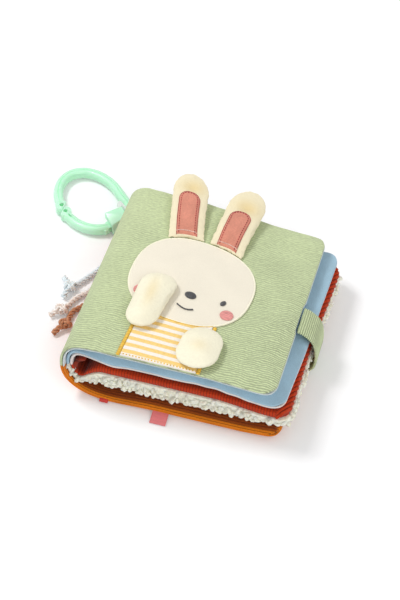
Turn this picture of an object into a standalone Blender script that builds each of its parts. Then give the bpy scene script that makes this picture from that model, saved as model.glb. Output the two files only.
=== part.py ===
"""A crinkle cloth book for a baby, closed and lying on its back cover.

Lengths are in metres and +Z is up. The origin is the centre of the flat underside of the
back cover. +X runs from the spine to the fore edge and +Y runs to the head of the book.
"""
import math

import bmesh
import bpy
from mathutils import Matrix, Vector

BOOK = "crinkle_cloth_book"
CUTTERS = "cutters"

# The clearance between pieces that lie against each other
GAP = 0.0003
# The clearance round a padding inside its cloths
FILL_GAP = 0.0009
# How far a cutter runs past the face that it opens
OVERRUN = 0.002

# The closed book
PANEL_WIDTH = 0.150
PANEL_HEIGHT = 0.153
BOOK_THICKNESS = 0.057
HINGE_HEIGHT = 0.030
# The corner of the stack that the strap pulls down, as a share of the height there
SETTLE_SHARE = 0.20
SETTLE_START = 0.045
CORNER_RADIUS = 0.009
SPINE_X = -PANEL_WIDTH / 2
FORE_X = PANEL_WIDTH / 2
HALF_HEIGHT = PANEL_HEIGHT / 2

# The padded covers
COVER_CLOTH = 0.0018
COVER_LINING = 0.0012
FRONT_PADDED = 0.0075
BACK_PADDED = 0.0082
COVER_ROLL = 0.0024
ROLL_WIDTH = 0.011
FRONT_SPINE_REACH = 0.020
BACK_SPINE_REACH = 0.042
SPINE_FULLNESS_SHARE = 0.86
FORE_DROOP = 0.0020
BACK_FORE_OVERHANG = 0.0050
BACK_FORE_LIFT = 0.0060
LIFT_LENGTH = 0.030
WADDING_MARGIN = 0.008
WADDING_START_SHARE = 0.40

# The two padded leaves
LEAF_HEIGHT = 0.1475
LEAF_ROLL = 0.0022
LEAF_ROOT_WALL = 0.0045
CORDUROY_ROLL = 0.0016
PAGE_ONE_TOP = 0.0478
PAGE_ONE_PADDED = 0.0090
PAGE_ONE_CLOTH = 0.0020
PAGE_ONE_UNDERSIDE = 0.0017
PAGE_ONE_OVERHANG = 0.0070
PAGE_ONE_DROOP = 0.0062
PAGE_ONE_REACH = 0.013
PAGE_TWO_BOTTOM = 0.0130
PAGE_TWO_PADDED = 0.0205
PAGE_TWO_CORDUROY = 0.0026
PAGE_TWO_SHERPA = 0.0135
PAGE_TWO_OVERHANG = 0.0110
PAGE_TWO_DROOP = 0.0040
PAGE_TWO_REACH = 0.0135
CORDUROY_INSET = 0.0028
FILM_MARGIN = 0.009
FILM_START_SHARE = 0.36
DROOP_LENGTH = 0.044
GUTTER_STRIP_THICKNESS = 0.0018
GUTTER_STRIP_DROP = 0.0035
GUTTER_STRIP_RISE = 0.0105
GUTTER_STRIP_REACH = 0.0070

# The applied animal on the front cover
APPLIQUE = 0.0012
FEATURE = 0.0008
HEAD_CENTRE = (-0.0039, -0.0010)
HEAD_HALF = (0.0448, 0.0363)
HEAD_TILT = math.radians(-18)
# The power of the head's rounded outline: 2 is an oval, and more is squarer
HEAD_SQUARENESS = 2.3
NOSE_AT = (-0.0005, -0.0136)
NOSE_HALF = (0.0041, 0.0030)
EYE_RIGHT_AT = (0.0226, -0.0131)
EYE_LEFT_AT = (-0.0236, -0.0170)
EYE_HALF = (0.0017, 0.0025)
CHEEK_RIGHT_AT = (0.0277, -0.0227)
CHEEK_LEFT_AT = (-0.0348, -0.0196)
CHEEK_HALF = (0.0047, 0.0043)
MOUTH_START = (-0.0072, -0.0220)
MOUTH_LENGTH = 0.0120
MOUTH_SAG = 0.0046
MOUTH_WIDTH = 0.0010
BODY_LEFT = -0.0308
BODY_RIGHT = 0.0216
# How far the body's left side leans in from its foot to the head
BODY_LEAN = 0.0030
BODY_FOOT_MARGIN = 0.0012
TRIM_WIDTH = 0.0026
TRIM_HEIGHT = 0.0014

# The ears
EAR_LENGTH = 0.062
EAR_HALF_WIDTH = 0.0127
EAR_TIP_RADIUS = 0.0122
# How much wider the ear is above its middle than at its base
EAR_SPREAD_SHARE = 0.07
EAR_THICKNESS = 0.0072
EAR_BASE_THICKNESS = 0.0028
EAR_RISE = 0.0045
EAR_PATCH = 0.0010
EAR_PATCH_HALF_WIDTH = 0.0072
EAR_PATCH_ARCH = 0.0069
EAR_PATCH_START_SHARE = 0.03
EAR_PATCH_END_SHARE = 0.66
LEFT_EAR_ROOT = (-0.0179, 0.0322)
LEFT_EAR_LEAN = -0.0142
RIGHT_EAR_ROOT = (0.0111, 0.0280)
RIGHT_EAR_LEAN = 0.0042

# The paws
PAW_THICKNESS = 0.0095
PAW_RIM = 0.0016
LEFT_PAW_ROOT = (-0.0267, -0.0535)
LEFT_PAW_LENGTH = 0.0490
LEFT_PAW_HALF_WIDTH = 0.0123
LEFT_PAW_LEAN = 0.0045
LEFT_PAW_SPREAD_SHARE = 0.20
RIGHT_PAW_ROOT = (0.0205, -0.0405)
RIGHT_PAW_LENGTH = 0.0360
RIGHT_PAW_HALF_WIDTH = 0.0148
RIGHT_PAW_LEAN = -0.0012
RIGHT_PAW_SPREAD_SHARE = 0.05
LEFT_PAW_SEAT = GAP + APPLIQUE + GAP + FEATURE + GAP
RIGHT_PAW_SEAT = GAP + TRIM_HEIGHT + GAP
PAW_TUCK_SHARE = 0.22

# The closing strap and its touch fastener
STRAP_WIDTH = 0.0215
STRAP_CENTRE_Y = -0.0042
STRAP_THICKNESS = 0.0012
FASTENER_THICKNESS = 0.0006
FASTENER_LENGTH = 0.0055
FASTENER_MARGIN = 0.0020
STRAP_ROOT_DEPTH = 0.0052
STRAP_BULGE = 0.0150
STRAP_END_REACH = 0.0072

# The blank ribbon tags on the near edge
PINK_TAG_X = -0.0040
PINK_TAG_WIDTH = 0.0115
PINK_TAG_LENGTH = 0.0100
RED_TAG_X = -0.0445
RED_TAG_WIDTH = 0.0060
RED_TAG_LENGTH = 0.0028
TAG_THICKNESS = 0.0010
TAG_HEIGHT = 0.0030

# The plastic ring clip, placed from the spine's outer line and the head of the book
RING_FROM_SPINE = 0.0385
RING_FROM_HEAD = 0.0210
RING_CENTRE = (SPINE_X - RING_FROM_SPINE, HALF_HEIGHT + RING_FROM_HEAD)
RING_TURN = math.radians(-45)
RING_BACK_LENGTH = 0.0330
RING_FRONT_LENGTH = 0.0312
RING_HALF_WIDTH = 0.0229
RING_STRAIGHT = 0.0165
RING_SHOULDER = 0.0112
RING_BAR_WIDTH = 0.0074
RING_BAR_HEIGHT = 0.0080
# The power of the bar's rounded section: 2 is an oval, and more is squarer
RING_SQUARENESS = 2.5
RING_GROOVE_WIDTH = 0.0010
RING_GROOVE_DEPTH = 0.0006
FRAME_END = math.radians(266.9)
GATE_START = math.radians(269.1)
GATE_END = math.radians(357)
EYELET_RADIUS = 0.0047
EYELET_HOLE = 0.0017
EYELET_HEIGHT = 0.0070
EYELET_DEPTH = 0.0034
EYELET_SETBACK = math.radians(5.2)
GATE_SLOT = (0.0030, 0.0012)
GATE_SLOT_DEPTH = 0.0020
GATE_SLOT_ANGLE = math.radians(286)
BLOCK_AT = (0.0296, 0.0080)
BLOCK_SIZE = (0.0146, 0.0144)
BLOCK_HEIGHT = 0.0120
BLOCK_NOSE = 0.0040
BLOCK_CORNER_DROP = 0.0036
BLOCK_EDGE = 0.0006
PIN_AT = (0.0289, 0.0052)
PIN_RADIUS = 0.0014
PIN_SETBACK = 0.0008
PIN_TOP = 0.0088
TONGUE_RADIUS = 0.0037
TONGUE_WIDTH = 0.0050
TONGUE_HEIGHT = 0.0048
CLEVIS_BACK = 0.0046

# The ribbon loop that holds the ring by the shoulder of its frame
LOOP_WIDTH = 0.0060
LOOP_THICKNESS = 0.0005
LOOP_ROOT_INSET = 0.0012
LOOP_ROOT_REACH = 0.0037
LOOP_ROOT_HEIGHT = 0.0270
LOOP_ANGLE = math.radians(80)
LOOP_STEP = math.radians(1)
LOOP_CLEARANCE = 0.0026
# The ribbon under its bar holds the ring this high off the table
RING_LIFT = LOOP_THICKNESS + 2 * GAP

# The three knotted cords, with routes chosen by hand along the table
CORD_DIAMETER = 0.0046
KNOT_RADIUS = 0.0052
KNOT_POCKET = 0.0034
TAIL_TAPER_SHARE = 0.75
BLUE_ROUTE = (
    (-0.0761, 0.0425, 0.0230),
    (-0.0788, 0.0412, 0.0175),
    (-0.0820, 0.0388, 0.0095),
    (-0.0845, 0.0362, 0.0046),
    (-0.0882, 0.0312, 0.0026),
    (-0.0925, 0.0240, 0.0026),
    (-0.0962, 0.0180, 0.0026),
)
BLUE_KNOT = (-0.1002, 0.0118, 0.0050)
BLUE_TAILS = ((-0.1082, 0.0205, 0.0026), (-0.1028, 0.0022, 0.0026))
PEACH_ROUTE = (
    (-0.0761, 0.0215, 0.0230),
    (-0.0788, 0.0198, 0.0175),
    (-0.0818, 0.0172, 0.0095),
    (-0.0843, 0.0140, 0.0046),
    (-0.0880, 0.0105, 0.0026),
    (-0.0925, 0.0055, 0.0026),
    (-0.0952, 0.0000, 0.0026),
    (-0.0968, -0.0045, 0.0026),
)
PEACH_KNOT = (-0.0990, -0.0103, 0.0050)
PEACH_TAILS = ((-0.1065, -0.0165, 0.0026),)
BROWN_ROUTE = (
    (-0.0761, 0.0050, 0.0230),
    (-0.0788, 0.0034, 0.0175),
    (-0.0820, 0.0014, 0.0095),
    (-0.0845, -0.0010, 0.0046),
    (-0.0880, -0.0040, 0.0027),
    (-0.0912, -0.0085, 0.0026),
    (-0.0920, -0.0145, 0.0026),
    (-0.0921, -0.0160, 0.0026),
)
BROWN_KNOT = (-0.0922, -0.0222, 0.0050)
BROWN_TAILS = ((-0.0985, -0.0320, 0.0026),)


def material(name, colour, roughness, metallic=0.0):
    """A plain Principled finish in the piece's own colour."""
    finish = bpy.data.materials.new(name)
    finish.use_nodes = True
    shader = finish.node_tree.nodes["Principled BSDF"]
    shader.inputs["Base Color"].default_value = (*colour, 1.0)
    shader.inputs["Roughness"].default_value = roughness
    shader.inputs["Metallic"].default_value = metallic
    finish.diffuse_color = (*colour, 1.0)
    return finish


def ease(value):
    """Smooth step from 0 to 1."""
    value = min(max(value, 0.0), 1.0)
    return value * value * (3.0 - 2.0 * value)


def crowd(value):
    """Moves evenly spaced grid lines towards the rims, from -1 to 1."""
    return math.sin(math.pi / 2 * value)


def settled(x, y):
    """The share of its height that the stack keeps at a place in plan."""
    along = ease((x + SETTLE_START) / (FORE_X + SETTLE_START))
    across = min(max(0.5 + y / PANEL_HEIGHT, 0.0), 1.0)
    return 1.0 - SETTLE_SHARE * along * across


def round_corner(x, y, half_x, half_y, radius):
    """Moves a point of a rectangle so that its corners are arcs of the given radius."""
    over_x = abs(x) - (half_x - radius)
    over_y = abs(y) - (half_y - radius)
    if over_x <= 0 or over_y <= 0:
        return x, y
    share = max(over_x, over_y) / math.hypot(over_x, over_y)
    return (math.copysign(half_x - radius + over_x * share, x),
            math.copysign(half_y - radius + over_y * share, y))


def plump(distance, roll):
    """How full a padded piece is at a distance from its rim, from 0 to 1."""
    return math.sin(math.pi / 2 * min(max(distance / roll, 0.0), 1.0))


def new_object(name, mesh, finish, parent=None):
    """Links a mesh as a part of the book, in world places even under a parent."""
    mesh.materials.clear()
    mesh.materials.append(finish)
    part = bpy.data.objects.new(name, mesh)
    bpy.data.collections[BOOK].objects.link(part)
    if parent:
        part.parent = parent
        part.matrix_parent_inverse = Matrix.Translation(-parent.location)
    return part


def slab(name, columns, rows, place, finish, parent=None):
    """A closed sheet: a unit grid with two faces, each corner put where place says."""
    bm = bmesh.new()
    bmesh.ops.create_grid(bm, x_segments=columns, y_segments=rows, size=1)
    raised = bmesh.ops.extrude_face_region(bm, geom=list(bm.faces))
    for element in raised["geom"]:
        if isinstance(element, bmesh.types.BMVert):
            element.co.z = 1.0
    for vert in bm.verts:
        vert.co = place(vert.co.x, vert.co.y, vert.co.z)
    bmesh.ops.recalc_face_normals(bm, faces=bm.faces)
    if bm.calc_volume(signed=True) < 0:
        bmesh.ops.reverse_faces(bm, faces=bm.faces)
    mesh = bpy.data.meshes.new(name)
    bm.to_mesh(mesh)
    bm.free()
    mesh.shade_smooth()
    mesh.set_sharp_from_angle(angle=math.radians(50))
    return new_object(name, mesh, finish, parent)


def smooth_route(points, spacing):
    """Evenly spaced points along a smooth curve through the given points."""
    knots = [Vector(point) for point in points]
    ends = [2 * knots[0] - knots[1], *knots, 2 * knots[-1] - knots[-2]]
    fine = []
    for before, start, stop, after in zip(ends, ends[1:], ends[2:], ends[3:]):
        for step in range(20):
            t = step / 20
            fine.append(0.5 * (2 * start + (stop - before) * t
                               + (2 * before - 5 * start + 4 * stop - after) * t ** 2
                               + (3 * start - before - 3 * stop + after) * t ** 3))
    fine.append(knots[-1])
    lengths = [0.0]
    for start, stop in zip(fine, fine[1:]):
        lengths.append(lengths[-1] + (stop - start).length)
    count = max(2, round(lengths[-1] / spacing))
    route = []
    index = 0
    for step in range(count + 1):
        target = lengths[-1] * step / count
        while index < len(lengths) - 2 and lengths[index + 1] < target:
            index += 1
        share = (target - lengths[index]) / (lengths[index + 1] - lengths[index])
        route.append(fine[index].lerp(fine[index + 1], share))
    return route


def route_point(route, share):
    """The place and the direction at a share of the way along a route."""
    position = min(max(share, 0.0), 1.0) * (len(route) - 1)
    index = min(int(position), len(route) - 2)
    place = route[index].lerp(route[index + 1], position - index)
    before = route[max(index - 1, 0)]
    after = route[min(index + 2, len(route) - 1)]
    return place, (after - before).normalized()


def strip(name, route, across, width, thickness, finish, parent=None, offset=0.0):
    """A flat strip along a route, with its width along the direction across."""
    side = Vector(across).normalized()

    def place(u, v, face):
        centre, forward = route_point(route, (u + 1) / 2)
        normal = forward.cross(side).normalized()
        depth = offset + (face - 0.5) * thickness
        return centre + side * (v * width / 2) + normal * depth

    return slab(name, len(route) - 1, 3, place, finish, parent)


def tube(name, points, diameter, finish):
    """A round cord along a route, with filled ends."""
    curve = bpy.data.curves.new(name, "CURVE")
    curve.dimensions = "3D"
    curve.bevel_depth = diameter / 2
    curve.bevel_resolution = 2
    curve.use_fill_caps = True
    spline = curve.splines.new("POLY")
    route = smooth_route(points, diameter)
    spline.points.add(len(route) - 1)
    for point, place in zip(spline.points, route):
        point.co = (*place, 1.0)
    curve.materials.append(finish)
    part = bpy.data.objects.new(name, curve)
    bpy.data.collections[BOOK].objects.link(part)
    return part


def as_mesh(curve_object):
    """Turns a curve object into a welded mesh object and removes the curve."""
    depsgraph = bpy.context.evaluated_depsgraph_get()
    depsgraph.update()
    mesh = bpy.data.meshes.new_from_object(curve_object.evaluated_get(depsgraph))
    bm = bmesh.new()
    bm.from_mesh(mesh)
    bmesh.ops.remove_doubles(bm, verts=bm.verts, dist=GAP / 10)
    bmesh.ops.recalc_face_normals(bm, faces=bm.faces)
    bm.to_mesh(mesh)
    bm.free()
    part = bpy.data.objects.new(curve_object.name, mesh)
    part.matrix_world = curve_object.matrix_world
    bpy.data.objects.remove(curve_object)
    return part


def boolean(part, tool, operation):
    """Adds a cut or a join by a tool object to a part."""
    modifier = part.modifiers.new(f"{operation.lower()}_{tool.name}", "BOOLEAN")
    modifier.operation = operation
    modifier.object = tool
    modifier.solver = "EXACT"
    bpy.data.collections[CUTTERS].objects.link(tool)
    tool.hide_render = True
    tool.display_type = "WIRE"


def cylinder(name, radius, depth, segments=20):
    """A mesh object for an upright cylinder about its own origin."""
    bm = bmesh.new()
    bmesh.ops.create_cone(bm, cap_ends=True, segments=segments,
                          radius1=radius, radius2=radius, depth=depth)
    mesh = bpy.data.meshes.new(name)
    bm.to_mesh(mesh)
    bm.free()
    return bpy.data.objects.new(name, mesh)


def box(name, size):
    """A mesh object for a box about its own origin."""
    bm = bmesh.new()
    bmesh.ops.create_cube(bm, size=1)
    bmesh.ops.scale(bm, vec=Vector(size), verts=bm.verts)
    mesh = bpy.data.meshes.new(name)
    bm.to_mesh(mesh)
    bm.free()
    return bpy.data.objects.new(name, mesh)


def cover_height(x, y):
    """The height of the front cover's outer face away from its rims."""
    droop = FORE_DROOP * ease((x - SPINE_X - FRONT_SPINE_REACH) / PANEL_WIDTH)
    return (BOOK_THICKNESS - droop) * settled(x, y)


def cover_rim(x, y):
    """The distance in plan from the front cover's sewn rims."""
    return min(FORE_X - x, HALF_HEIGHT - abs(y))


def cover_face(x, y):
    """The height of the front cover's outer face at any place on its flat panel."""
    roll = COVER_ROLL * (1.0 - plump(cover_rim(x, y), ROLL_WIDTH))
    return cover_height(x, y) - roll


def back_lift(x):
    """How far the back cover's fore edge curls up off the table."""
    share = max(0.0, (x - (FORE_X + BACK_FORE_OVERHANG - LIFT_LENGTH)) / LIFT_LENGTH)
    return BACK_FORE_LIFT * share ** 1.5


def back_under(x, y):
    """The height of the back cover's underside near its fore edge."""
    rim = min(FORE_X + BACK_FORE_OVERHANG - x, HALF_HEIGHT - abs(y))
    roll = COVER_ROLL * (1.0 - plump(rim, ROLL_WIDTH))
    return (back_lift(x) + roll) * settled(x, y)


def folded_sheet(name, finish, parent, columns, rows, spec, outer, inner, margin=0.0,
                 start_share=0.0, inner_droop=None):
    """One layer of a cover or leaf, from its fold at the spine to its fore edge.

    spec holds the form of the whole cover or leaf; outer and inner say where the layer
    lies in its thickness, each as a function of how full the padding is there.
    """
    reach = spec["reach"]
    rise = spec["rise"]
    fold_x = spec["fold_x"]
    fore_x = spec["fore_x"] - margin
    half_y = spec["half_y"] - margin
    fold_length = math.hypot(reach, rise)
    flat_length = fore_x - fold_x - reach
    total = fold_length + flat_length
    half_total = total / 2

    def place(u, v, face):
        along = start_share * total + (1 - start_share) * (crowd(u) + 1) / 2 * total
        across = crowd(v) * half_y
        centred = along - half_total
        if centred > 0:
            centred, across = round_corner(centred, across, half_total, half_y,
                                           spec["corner"] - margin)
        along = centred + half_total
        rim = min(total - along, half_y - abs(across)) + margin
        full = plump(rim, spec["roll_width"])
        padded = ease((along - fold_length * 0.55) / fold_length)
        depth = inner(full, padded) if face else outer(full, padded)
        if along < fold_length:
            angle = math.pi / 2 * along / fold_length
            x = fold_x + reach - (reach - depth) * math.cos(angle) ** SPINE_FULLNESS_SHARE
            height = (rise - depth) * math.sin(angle) ** SPINE_FULLNESS_SHARE
            height = max(height, GAP / 2)
        else:
            x = fold_x + reach + along - fold_length
            height = rise - depth
        droop = inner_droop(x) if face and inner_droop else spec["droop"](x)
        z = HINGE_HEIGHT + spec["side"] * height + droop
        return Vector((x, across + spec["shift_y"], z * settled(x, across)))

    return slab(name, columns, rows, place, finish, parent)


def build_cover(side, names, finishes, parent):
    """A cover: outer cloth, wadding and lining, with its half of the spine."""
    front = side > 0
    padding = FRONT_PADDED if front else BACK_PADDED
    spine_wall = COVER_CLOTH + GAP + COVER_LINING
    spec = {
        "side": side,
        "reach": FRONT_SPINE_REACH if front else BACK_SPINE_REACH,
        "rise": BOOK_THICKNESS - HINGE_HEIGHT if front else HINGE_HEIGHT,
        "fold_x": SPINE_X,
        "fore_x": FORE_X if front else FORE_X + BACK_FORE_OVERHANG,
        "half_y": HALF_HEIGHT,
        "shift_y": 0.0,
        "corner": CORNER_RADIUS,
        "roll_width": ROLL_WIDTH,
        "droop": (lambda x: -FORE_DROOP * ease((x - SPINE_X - FRONT_SPINE_REACH)
                                               / PANEL_WIDTH)) if front else back_lift,
    }

    def wall(padded):
        return spine_wall + (padding - spine_wall) * padded

    def outer_roll(full, padded):
        return COVER_ROLL * (1 - full) * padded

    def inner_roll(full, padded):
        return (padding - COVER_ROLL - spine_wall) * (1 - full) * padded

    cloth, wadding, lining = names
    folded_sheet(cloth, finishes[0], parent, 18, 12, spec,
                 lambda full, padded: outer_roll(full, padded),
                 lambda full, padded: outer_roll(full, padded) + COVER_CLOTH)
    folded_sheet(lining, finishes[2], parent, 18, 12, spec,
                 lambda full, padded: wall(padded) - inner_roll(full, padded) - COVER_LINING,
                 lambda full, padded: wall(padded) - inner_roll(full, padded))
    folded_sheet(wadding, finishes[1], parent, 10, 8, spec,
                 lambda full, padded: outer_roll(full, padded) + COVER_CLOTH + FILL_GAP,
                 lambda full, padded: (wall(padded) - inner_roll(full, padded)
                                       - COVER_LINING - FILL_GAP),
                 margin=WADDING_MARGIN, start_share=WADDING_START_SHARE)


def leaf_droop(amount):
    """How far a leaf sinks towards its fore edge."""
    return lambda x: -amount * ease((x - (FORE_X - DROOP_LENGTH)) / DROOP_LENGTH)


def leaf_fold_x():
    """Where the leaves' own fold lies, just inside the lined spine."""
    return SPINE_X + COVER_CLOTH + GAP + COVER_LINING + GAP


def build_page_one(parent, velour, film, underside):
    """The upper leaf: blue velour above, crinkle film inside and pale cloth below."""
    spec = {
        "side": 1,
        "reach": PAGE_ONE_REACH,
        "rise": PAGE_ONE_TOP - HINGE_HEIGHT,
        "fold_x": leaf_fold_x(),
        "fore_x": FORE_X + PAGE_ONE_OVERHANG,
        "half_y": LEAF_HEIGHT / 2,
        "shift_y": 0.0,
        "corner": CORNER_RADIUS,
        "roll_width": ROLL_WIDTH,
        "droop": leaf_droop(PAGE_ONE_DROOP),
    }
    under_roll = PAGE_ONE_PADDED - LEAF_ROLL - PAGE_ONE_CLOTH - GAP - PAGE_ONE_UNDERSIDE

    def wall(padded):
        return LEAF_ROOT_WALL + (PAGE_ONE_PADDED - LEAF_ROOT_WALL) * padded

    def top(full, padded):
        return LEAF_ROLL * (1 - full) * padded

    def bottom(full, padded):
        return wall(padded) - under_roll * (1 - full) * padded

    folded_sheet("page_1_top", velour, parent, 18, 12, spec, top,
                 lambda full, padded: top(full, padded) + PAGE_ONE_CLOTH)
    folded_sheet("page_1_film", film, parent, 8, 8, spec,
                 lambda full, padded: top(full, padded) + PAGE_ONE_CLOTH + FILL_GAP,
                 lambda full, padded: bottom(full, padded) - PAGE_ONE_UNDERSIDE - FILL_GAP,
                 margin=FILM_MARGIN, start_share=FILM_START_SHARE)
    folded_sheet("page_1_underside", underside, parent, 18, 12, spec,
                 lambda full, padded: bottom(full, padded) - PAGE_ONE_UNDERSIDE, bottom)


def build_page_two(parent, corduroy, film, sherpa):
    """The lower leaf: rust corduroy above, crinkle film inside and sherpa below."""
    spec = {
        "side": -1,
        "reach": PAGE_TWO_REACH,
        "rise": HINGE_HEIGHT - PAGE_TWO_BOTTOM,
        "fold_x": leaf_fold_x(),
        "fore_x": FORE_X + PAGE_TWO_OVERHANG,
        "half_y": LEAF_HEIGHT / 2,
        "shift_y": 0.0,
        "corner": CORNER_RADIUS,
        "roll_width": ROLL_WIDTH,
        "droop": lambda x: 0.0,
    }
    upper = dict(spec)
    upper["fore_x"] = spec["fore_x"] - CORDUROY_INSET
    upper["half_y"] = spec["half_y"] - CORDUROY_INSET / 2
    sink = leaf_droop(PAGE_TWO_DROOP)
    upper["droop"] = sink
    thin = LEAF_ROOT_WALL / 2
    pile_roll = PAGE_TWO_SHERPA / 4

    def seam(padded):
        return thin + (PAGE_TWO_SHERPA - thin) * padded

    def cloth_top(full, padded):
        level = LEAF_ROOT_WALL + (PAGE_TWO_PADDED - LEAF_ROOT_WALL) * padded
        return level - CORDUROY_ROLL * (1 - full) * padded

    def cloth_bottom(full, padded):
        rim = seam(padded) + GAP
        return rim + (cloth_top(full, padded) - PAGE_TWO_CORDUROY - rim) * full * padded

    folded_sheet("page_2_underside", sherpa, parent, 18, 12, spec,
                 lambda full, padded: pile_roll * (1 - full) * padded,
                 lambda full, padded: seam(padded),
                 inner_droop=sink)
    folded_sheet("page_2_top", corduroy, parent, 18, 12, upper, cloth_bottom, cloth_top)
    folded_sheet("page_2_film", film, parent, 8, 8, upper,
                 lambda full, padded: seam(padded) + FILL_GAP,
                 lambda full, padded: max(
                     cloth_top(full, padded) - PAGE_TWO_CORDUROY - FILL_GAP,
                     seam(padded) + FILL_GAP + GAP),
                 margin=FILM_MARGIN, start_share=FILM_START_SHARE)


def squared(x, y, power):
    """Moves a point of the unit disc so that the disc's outline gets the given power."""
    distance = math.hypot(x, y)
    if distance == 0:
        return x, y
    outline = (abs(x / distance) ** power + abs(y / distance) ** power) ** (-1 / power)
    return x * outline, y * outline


def applique(name, centre, half, lift, thickness, finish, parent, tilt=0.0, count=12,
             power=2.0):
    """A flat rounded patch that lies on the front cover."""
    def place(u, v, face):
        x, y = round_corner(crowd(u), crowd(v), 1.0, 1.0, 1.0)
        x, y = squared(x, y, power)
        turned = Matrix.Rotation(tilt, 2) @ Vector((x * half[0], y * half[1]))
        x = centre[0] + turned.x
        y = centre[1] + turned.y
        return Vector((x, y, cover_face(x, y) + lift + face * thickness))

    return slab(name, count, count, place, finish, parent)


def head_share(x, y):
    """How far a place is from the head's centre, as a share of the way to its outline."""
    turned = Matrix.Rotation(-HEAD_TILT, 2) @ Vector((x - HEAD_CENTRE[0],
                                                      y - HEAD_CENTRE[1]))
    along = abs(turned.x / HEAD_HALF[0]) ** HEAD_SQUARENESS
    across = abs(turned.y / HEAD_HALF[1]) ** HEAD_SQUARENESS
    return (along + across) ** (1 / HEAD_SQUARENESS)


def head_edge(x, side):
    """The y of the head's outline at a given x, on its upper (1) or lower (-1) side."""
    inside = 0.0
    outside = HEAD_HALF[0] + HEAD_HALF[1]
    for _ in range(40):
        middle = (inside + outside) / 2
        if head_share(x, HEAD_CENTRE[1] + side * middle) < 1:
            inside = middle
        else:
            outside = middle
    return HEAD_CENTRE[1] + side * inside


def build_face(parent, finishes):
    """The head, its features, the striped body and the two satin-stitched sides."""
    applique("head", HEAD_CENTRE, HEAD_HALF, GAP, APPLIQUE, finishes["cream"], parent,
             HEAD_TILT, 14, HEAD_SQUARENESS)
    on_head = GAP + APPLIQUE + GAP
    applique("nose", NOSE_AT, NOSE_HALF, on_head, FEATURE, finishes["thread"], parent,
             math.radians(-8), 6)
    applique("eye_right", EYE_RIGHT_AT, EYE_HALF, on_head, FEATURE, finishes["thread"],
             parent, math.radians(-25), 6)
    applique("eye_left", EYE_LEFT_AT, EYE_HALF, on_head, FEATURE, finishes["thread"],
             parent, math.radians(20), 6)
    applique("cheek_right", CHEEK_RIGHT_AT, CHEEK_HALF, on_head, FEATURE,
             finishes["cheek"], parent, 0.0, 6)
    applique("cheek_left", CHEEK_LEFT_AT, CHEEK_HALF, on_head, FEATURE,
             finishes["cheek"], parent, 0.0, 6)

    def mouth(u, v, face):
        along = (u + 1) / 2
        x = MOUTH_START[0] + MOUTH_LENGTH * along
        sag = MOUTH_SAG * math.sin(math.pi * (0.12 + 0.62 * along))
        y = MOUTH_START[1] - sag + v * MOUTH_WIDTH / 2
        return Vector((x, y, cover_face(x, y) + on_head + face * FEATURE))

    slab("mouth", 8, 2, mouth, finishes["thread"], parent)
    foot = -HALF_HEIGHT + BODY_FOOT_MARGIN

    def leaning(across, up):
        """The x at a share of the way across the body and up it."""
        left = BODY_LEFT + BODY_LEAN * up
        return left + (BODY_RIGHT - left) * across

    def body(u, v, face):
        across = (u + 1) / 2
        up = (v + 1) / 2
        x = leaning(across, up)
        top = head_edge(leaning(across, 1.0), -1) - GAP
        y = foot + (top - foot) * up
        return Vector((x, y, cover_face(x, y) + GAP + face * APPLIQUE))

    slab("striped_body", 12, 10, body, finishes["stripe"], parent)

    def trim(left, lean):
        def place(u, v, face):
            up = (v + 1) / 2
            x = left + lean * up + TRIM_WIDTH * (u + 1) / 2
            ends = (left + lean, left + lean + TRIM_WIDTH)
            top = min(head_edge(end, -1) for end in ends) - GAP
            y = foot + (top - foot) * up
            return Vector((x, y, cover_face(x, y) + GAP + face * TRIM_HEIGHT))
        return place

    slab("body_trim_left", 2, 10, trim(BODY_LEFT - GAP - TRIM_WIDTH, BODY_LEAN),
         finishes["satin"], parent)
    slab("body_trim_right", 2, 10, trim(BODY_RIGHT + GAP, 0.0), finishes["satin"], parent)


def ear_surface(root, lean, u, v):
    """Plan place, underside height and thickness of an ear at u across and v along."""
    half = EAR_HALF_WIDTH
    length = EAR_LENGTH
    across = u * half
    along = v * length
    centred = along - length / 2
    if centred > 0:
        across, centred = round_corner(across, centred, half, length / 2, EAR_TIP_RADIUS)
    along = centred + length / 2
    spread = 1 + EAR_SPREAD_SHARE * ease(along / (length * 0.6))
    x = root[0] + across * spread + lean * (along / length) ** 1.1
    shift = max(head_edge(x, 1) + 3 * GAP - root[1], 0.0)
    y = root[1] + along + shift * (1 - along / length) ** 3
    rim = min(half - abs(across), length - along)
    full = plump(rim, half)
    root_full = ease(along / (length * 0.35))
    peak = EAR_BASE_THICKNESS + (EAR_THICKNESS - EAR_BASE_THICKNESS) * root_full
    thickness = EAR_BASE_THICKNESS / 2 + (peak - EAR_BASE_THICKNESS / 2) * full
    over_edge = min(y, HALF_HEIGHT)
    floor = cover_height(x, over_edge) + GAP + EAR_RISE * (along / length) ** 2
    lower = floor + (peak - thickness) * 0.45
    return x, y, lower, thickness


def build_ear(side, root, lean, parent, plush, patch):
    """A padded ear sewn to the head at its base, with its inner patch."""
    def ear(u, v, face):
        x, y, lower, thickness = ear_surface(root, lean, crowd(u), (crowd(v) + 1) / 2)
        return Vector((x, y, lower + face * thickness))

    half_length = EAR_LENGTH * (EAR_PATCH_END_SHARE - EAR_PATCH_START_SHARE) / 2
    middle = EAR_LENGTH * (EAR_PATCH_END_SHARE + EAR_PATCH_START_SHARE) / 2

    def inner(u, v, face):
        across = crowd(u) * EAR_PATCH_HALF_WIDTH
        along = crowd(v) * half_length
        if along > 0:
            across, along = round_corner(across, along, EAR_PATCH_HALF_WIDTH, half_length,
                                         EAR_PATCH_ARCH)
        x, y, lower, thickness = ear_surface(root, lean, across / EAR_HALF_WIDTH,
                                             (middle + along) / EAR_LENGTH)
        return Vector((x, y, lower + thickness + GAP + face * EAR_PATCH))

    slab(f"ear_{side}", 10, 14, ear, plush, parent)
    slab(f"ear_{side}_patch", 6, 10, inner, patch, parent)


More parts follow.
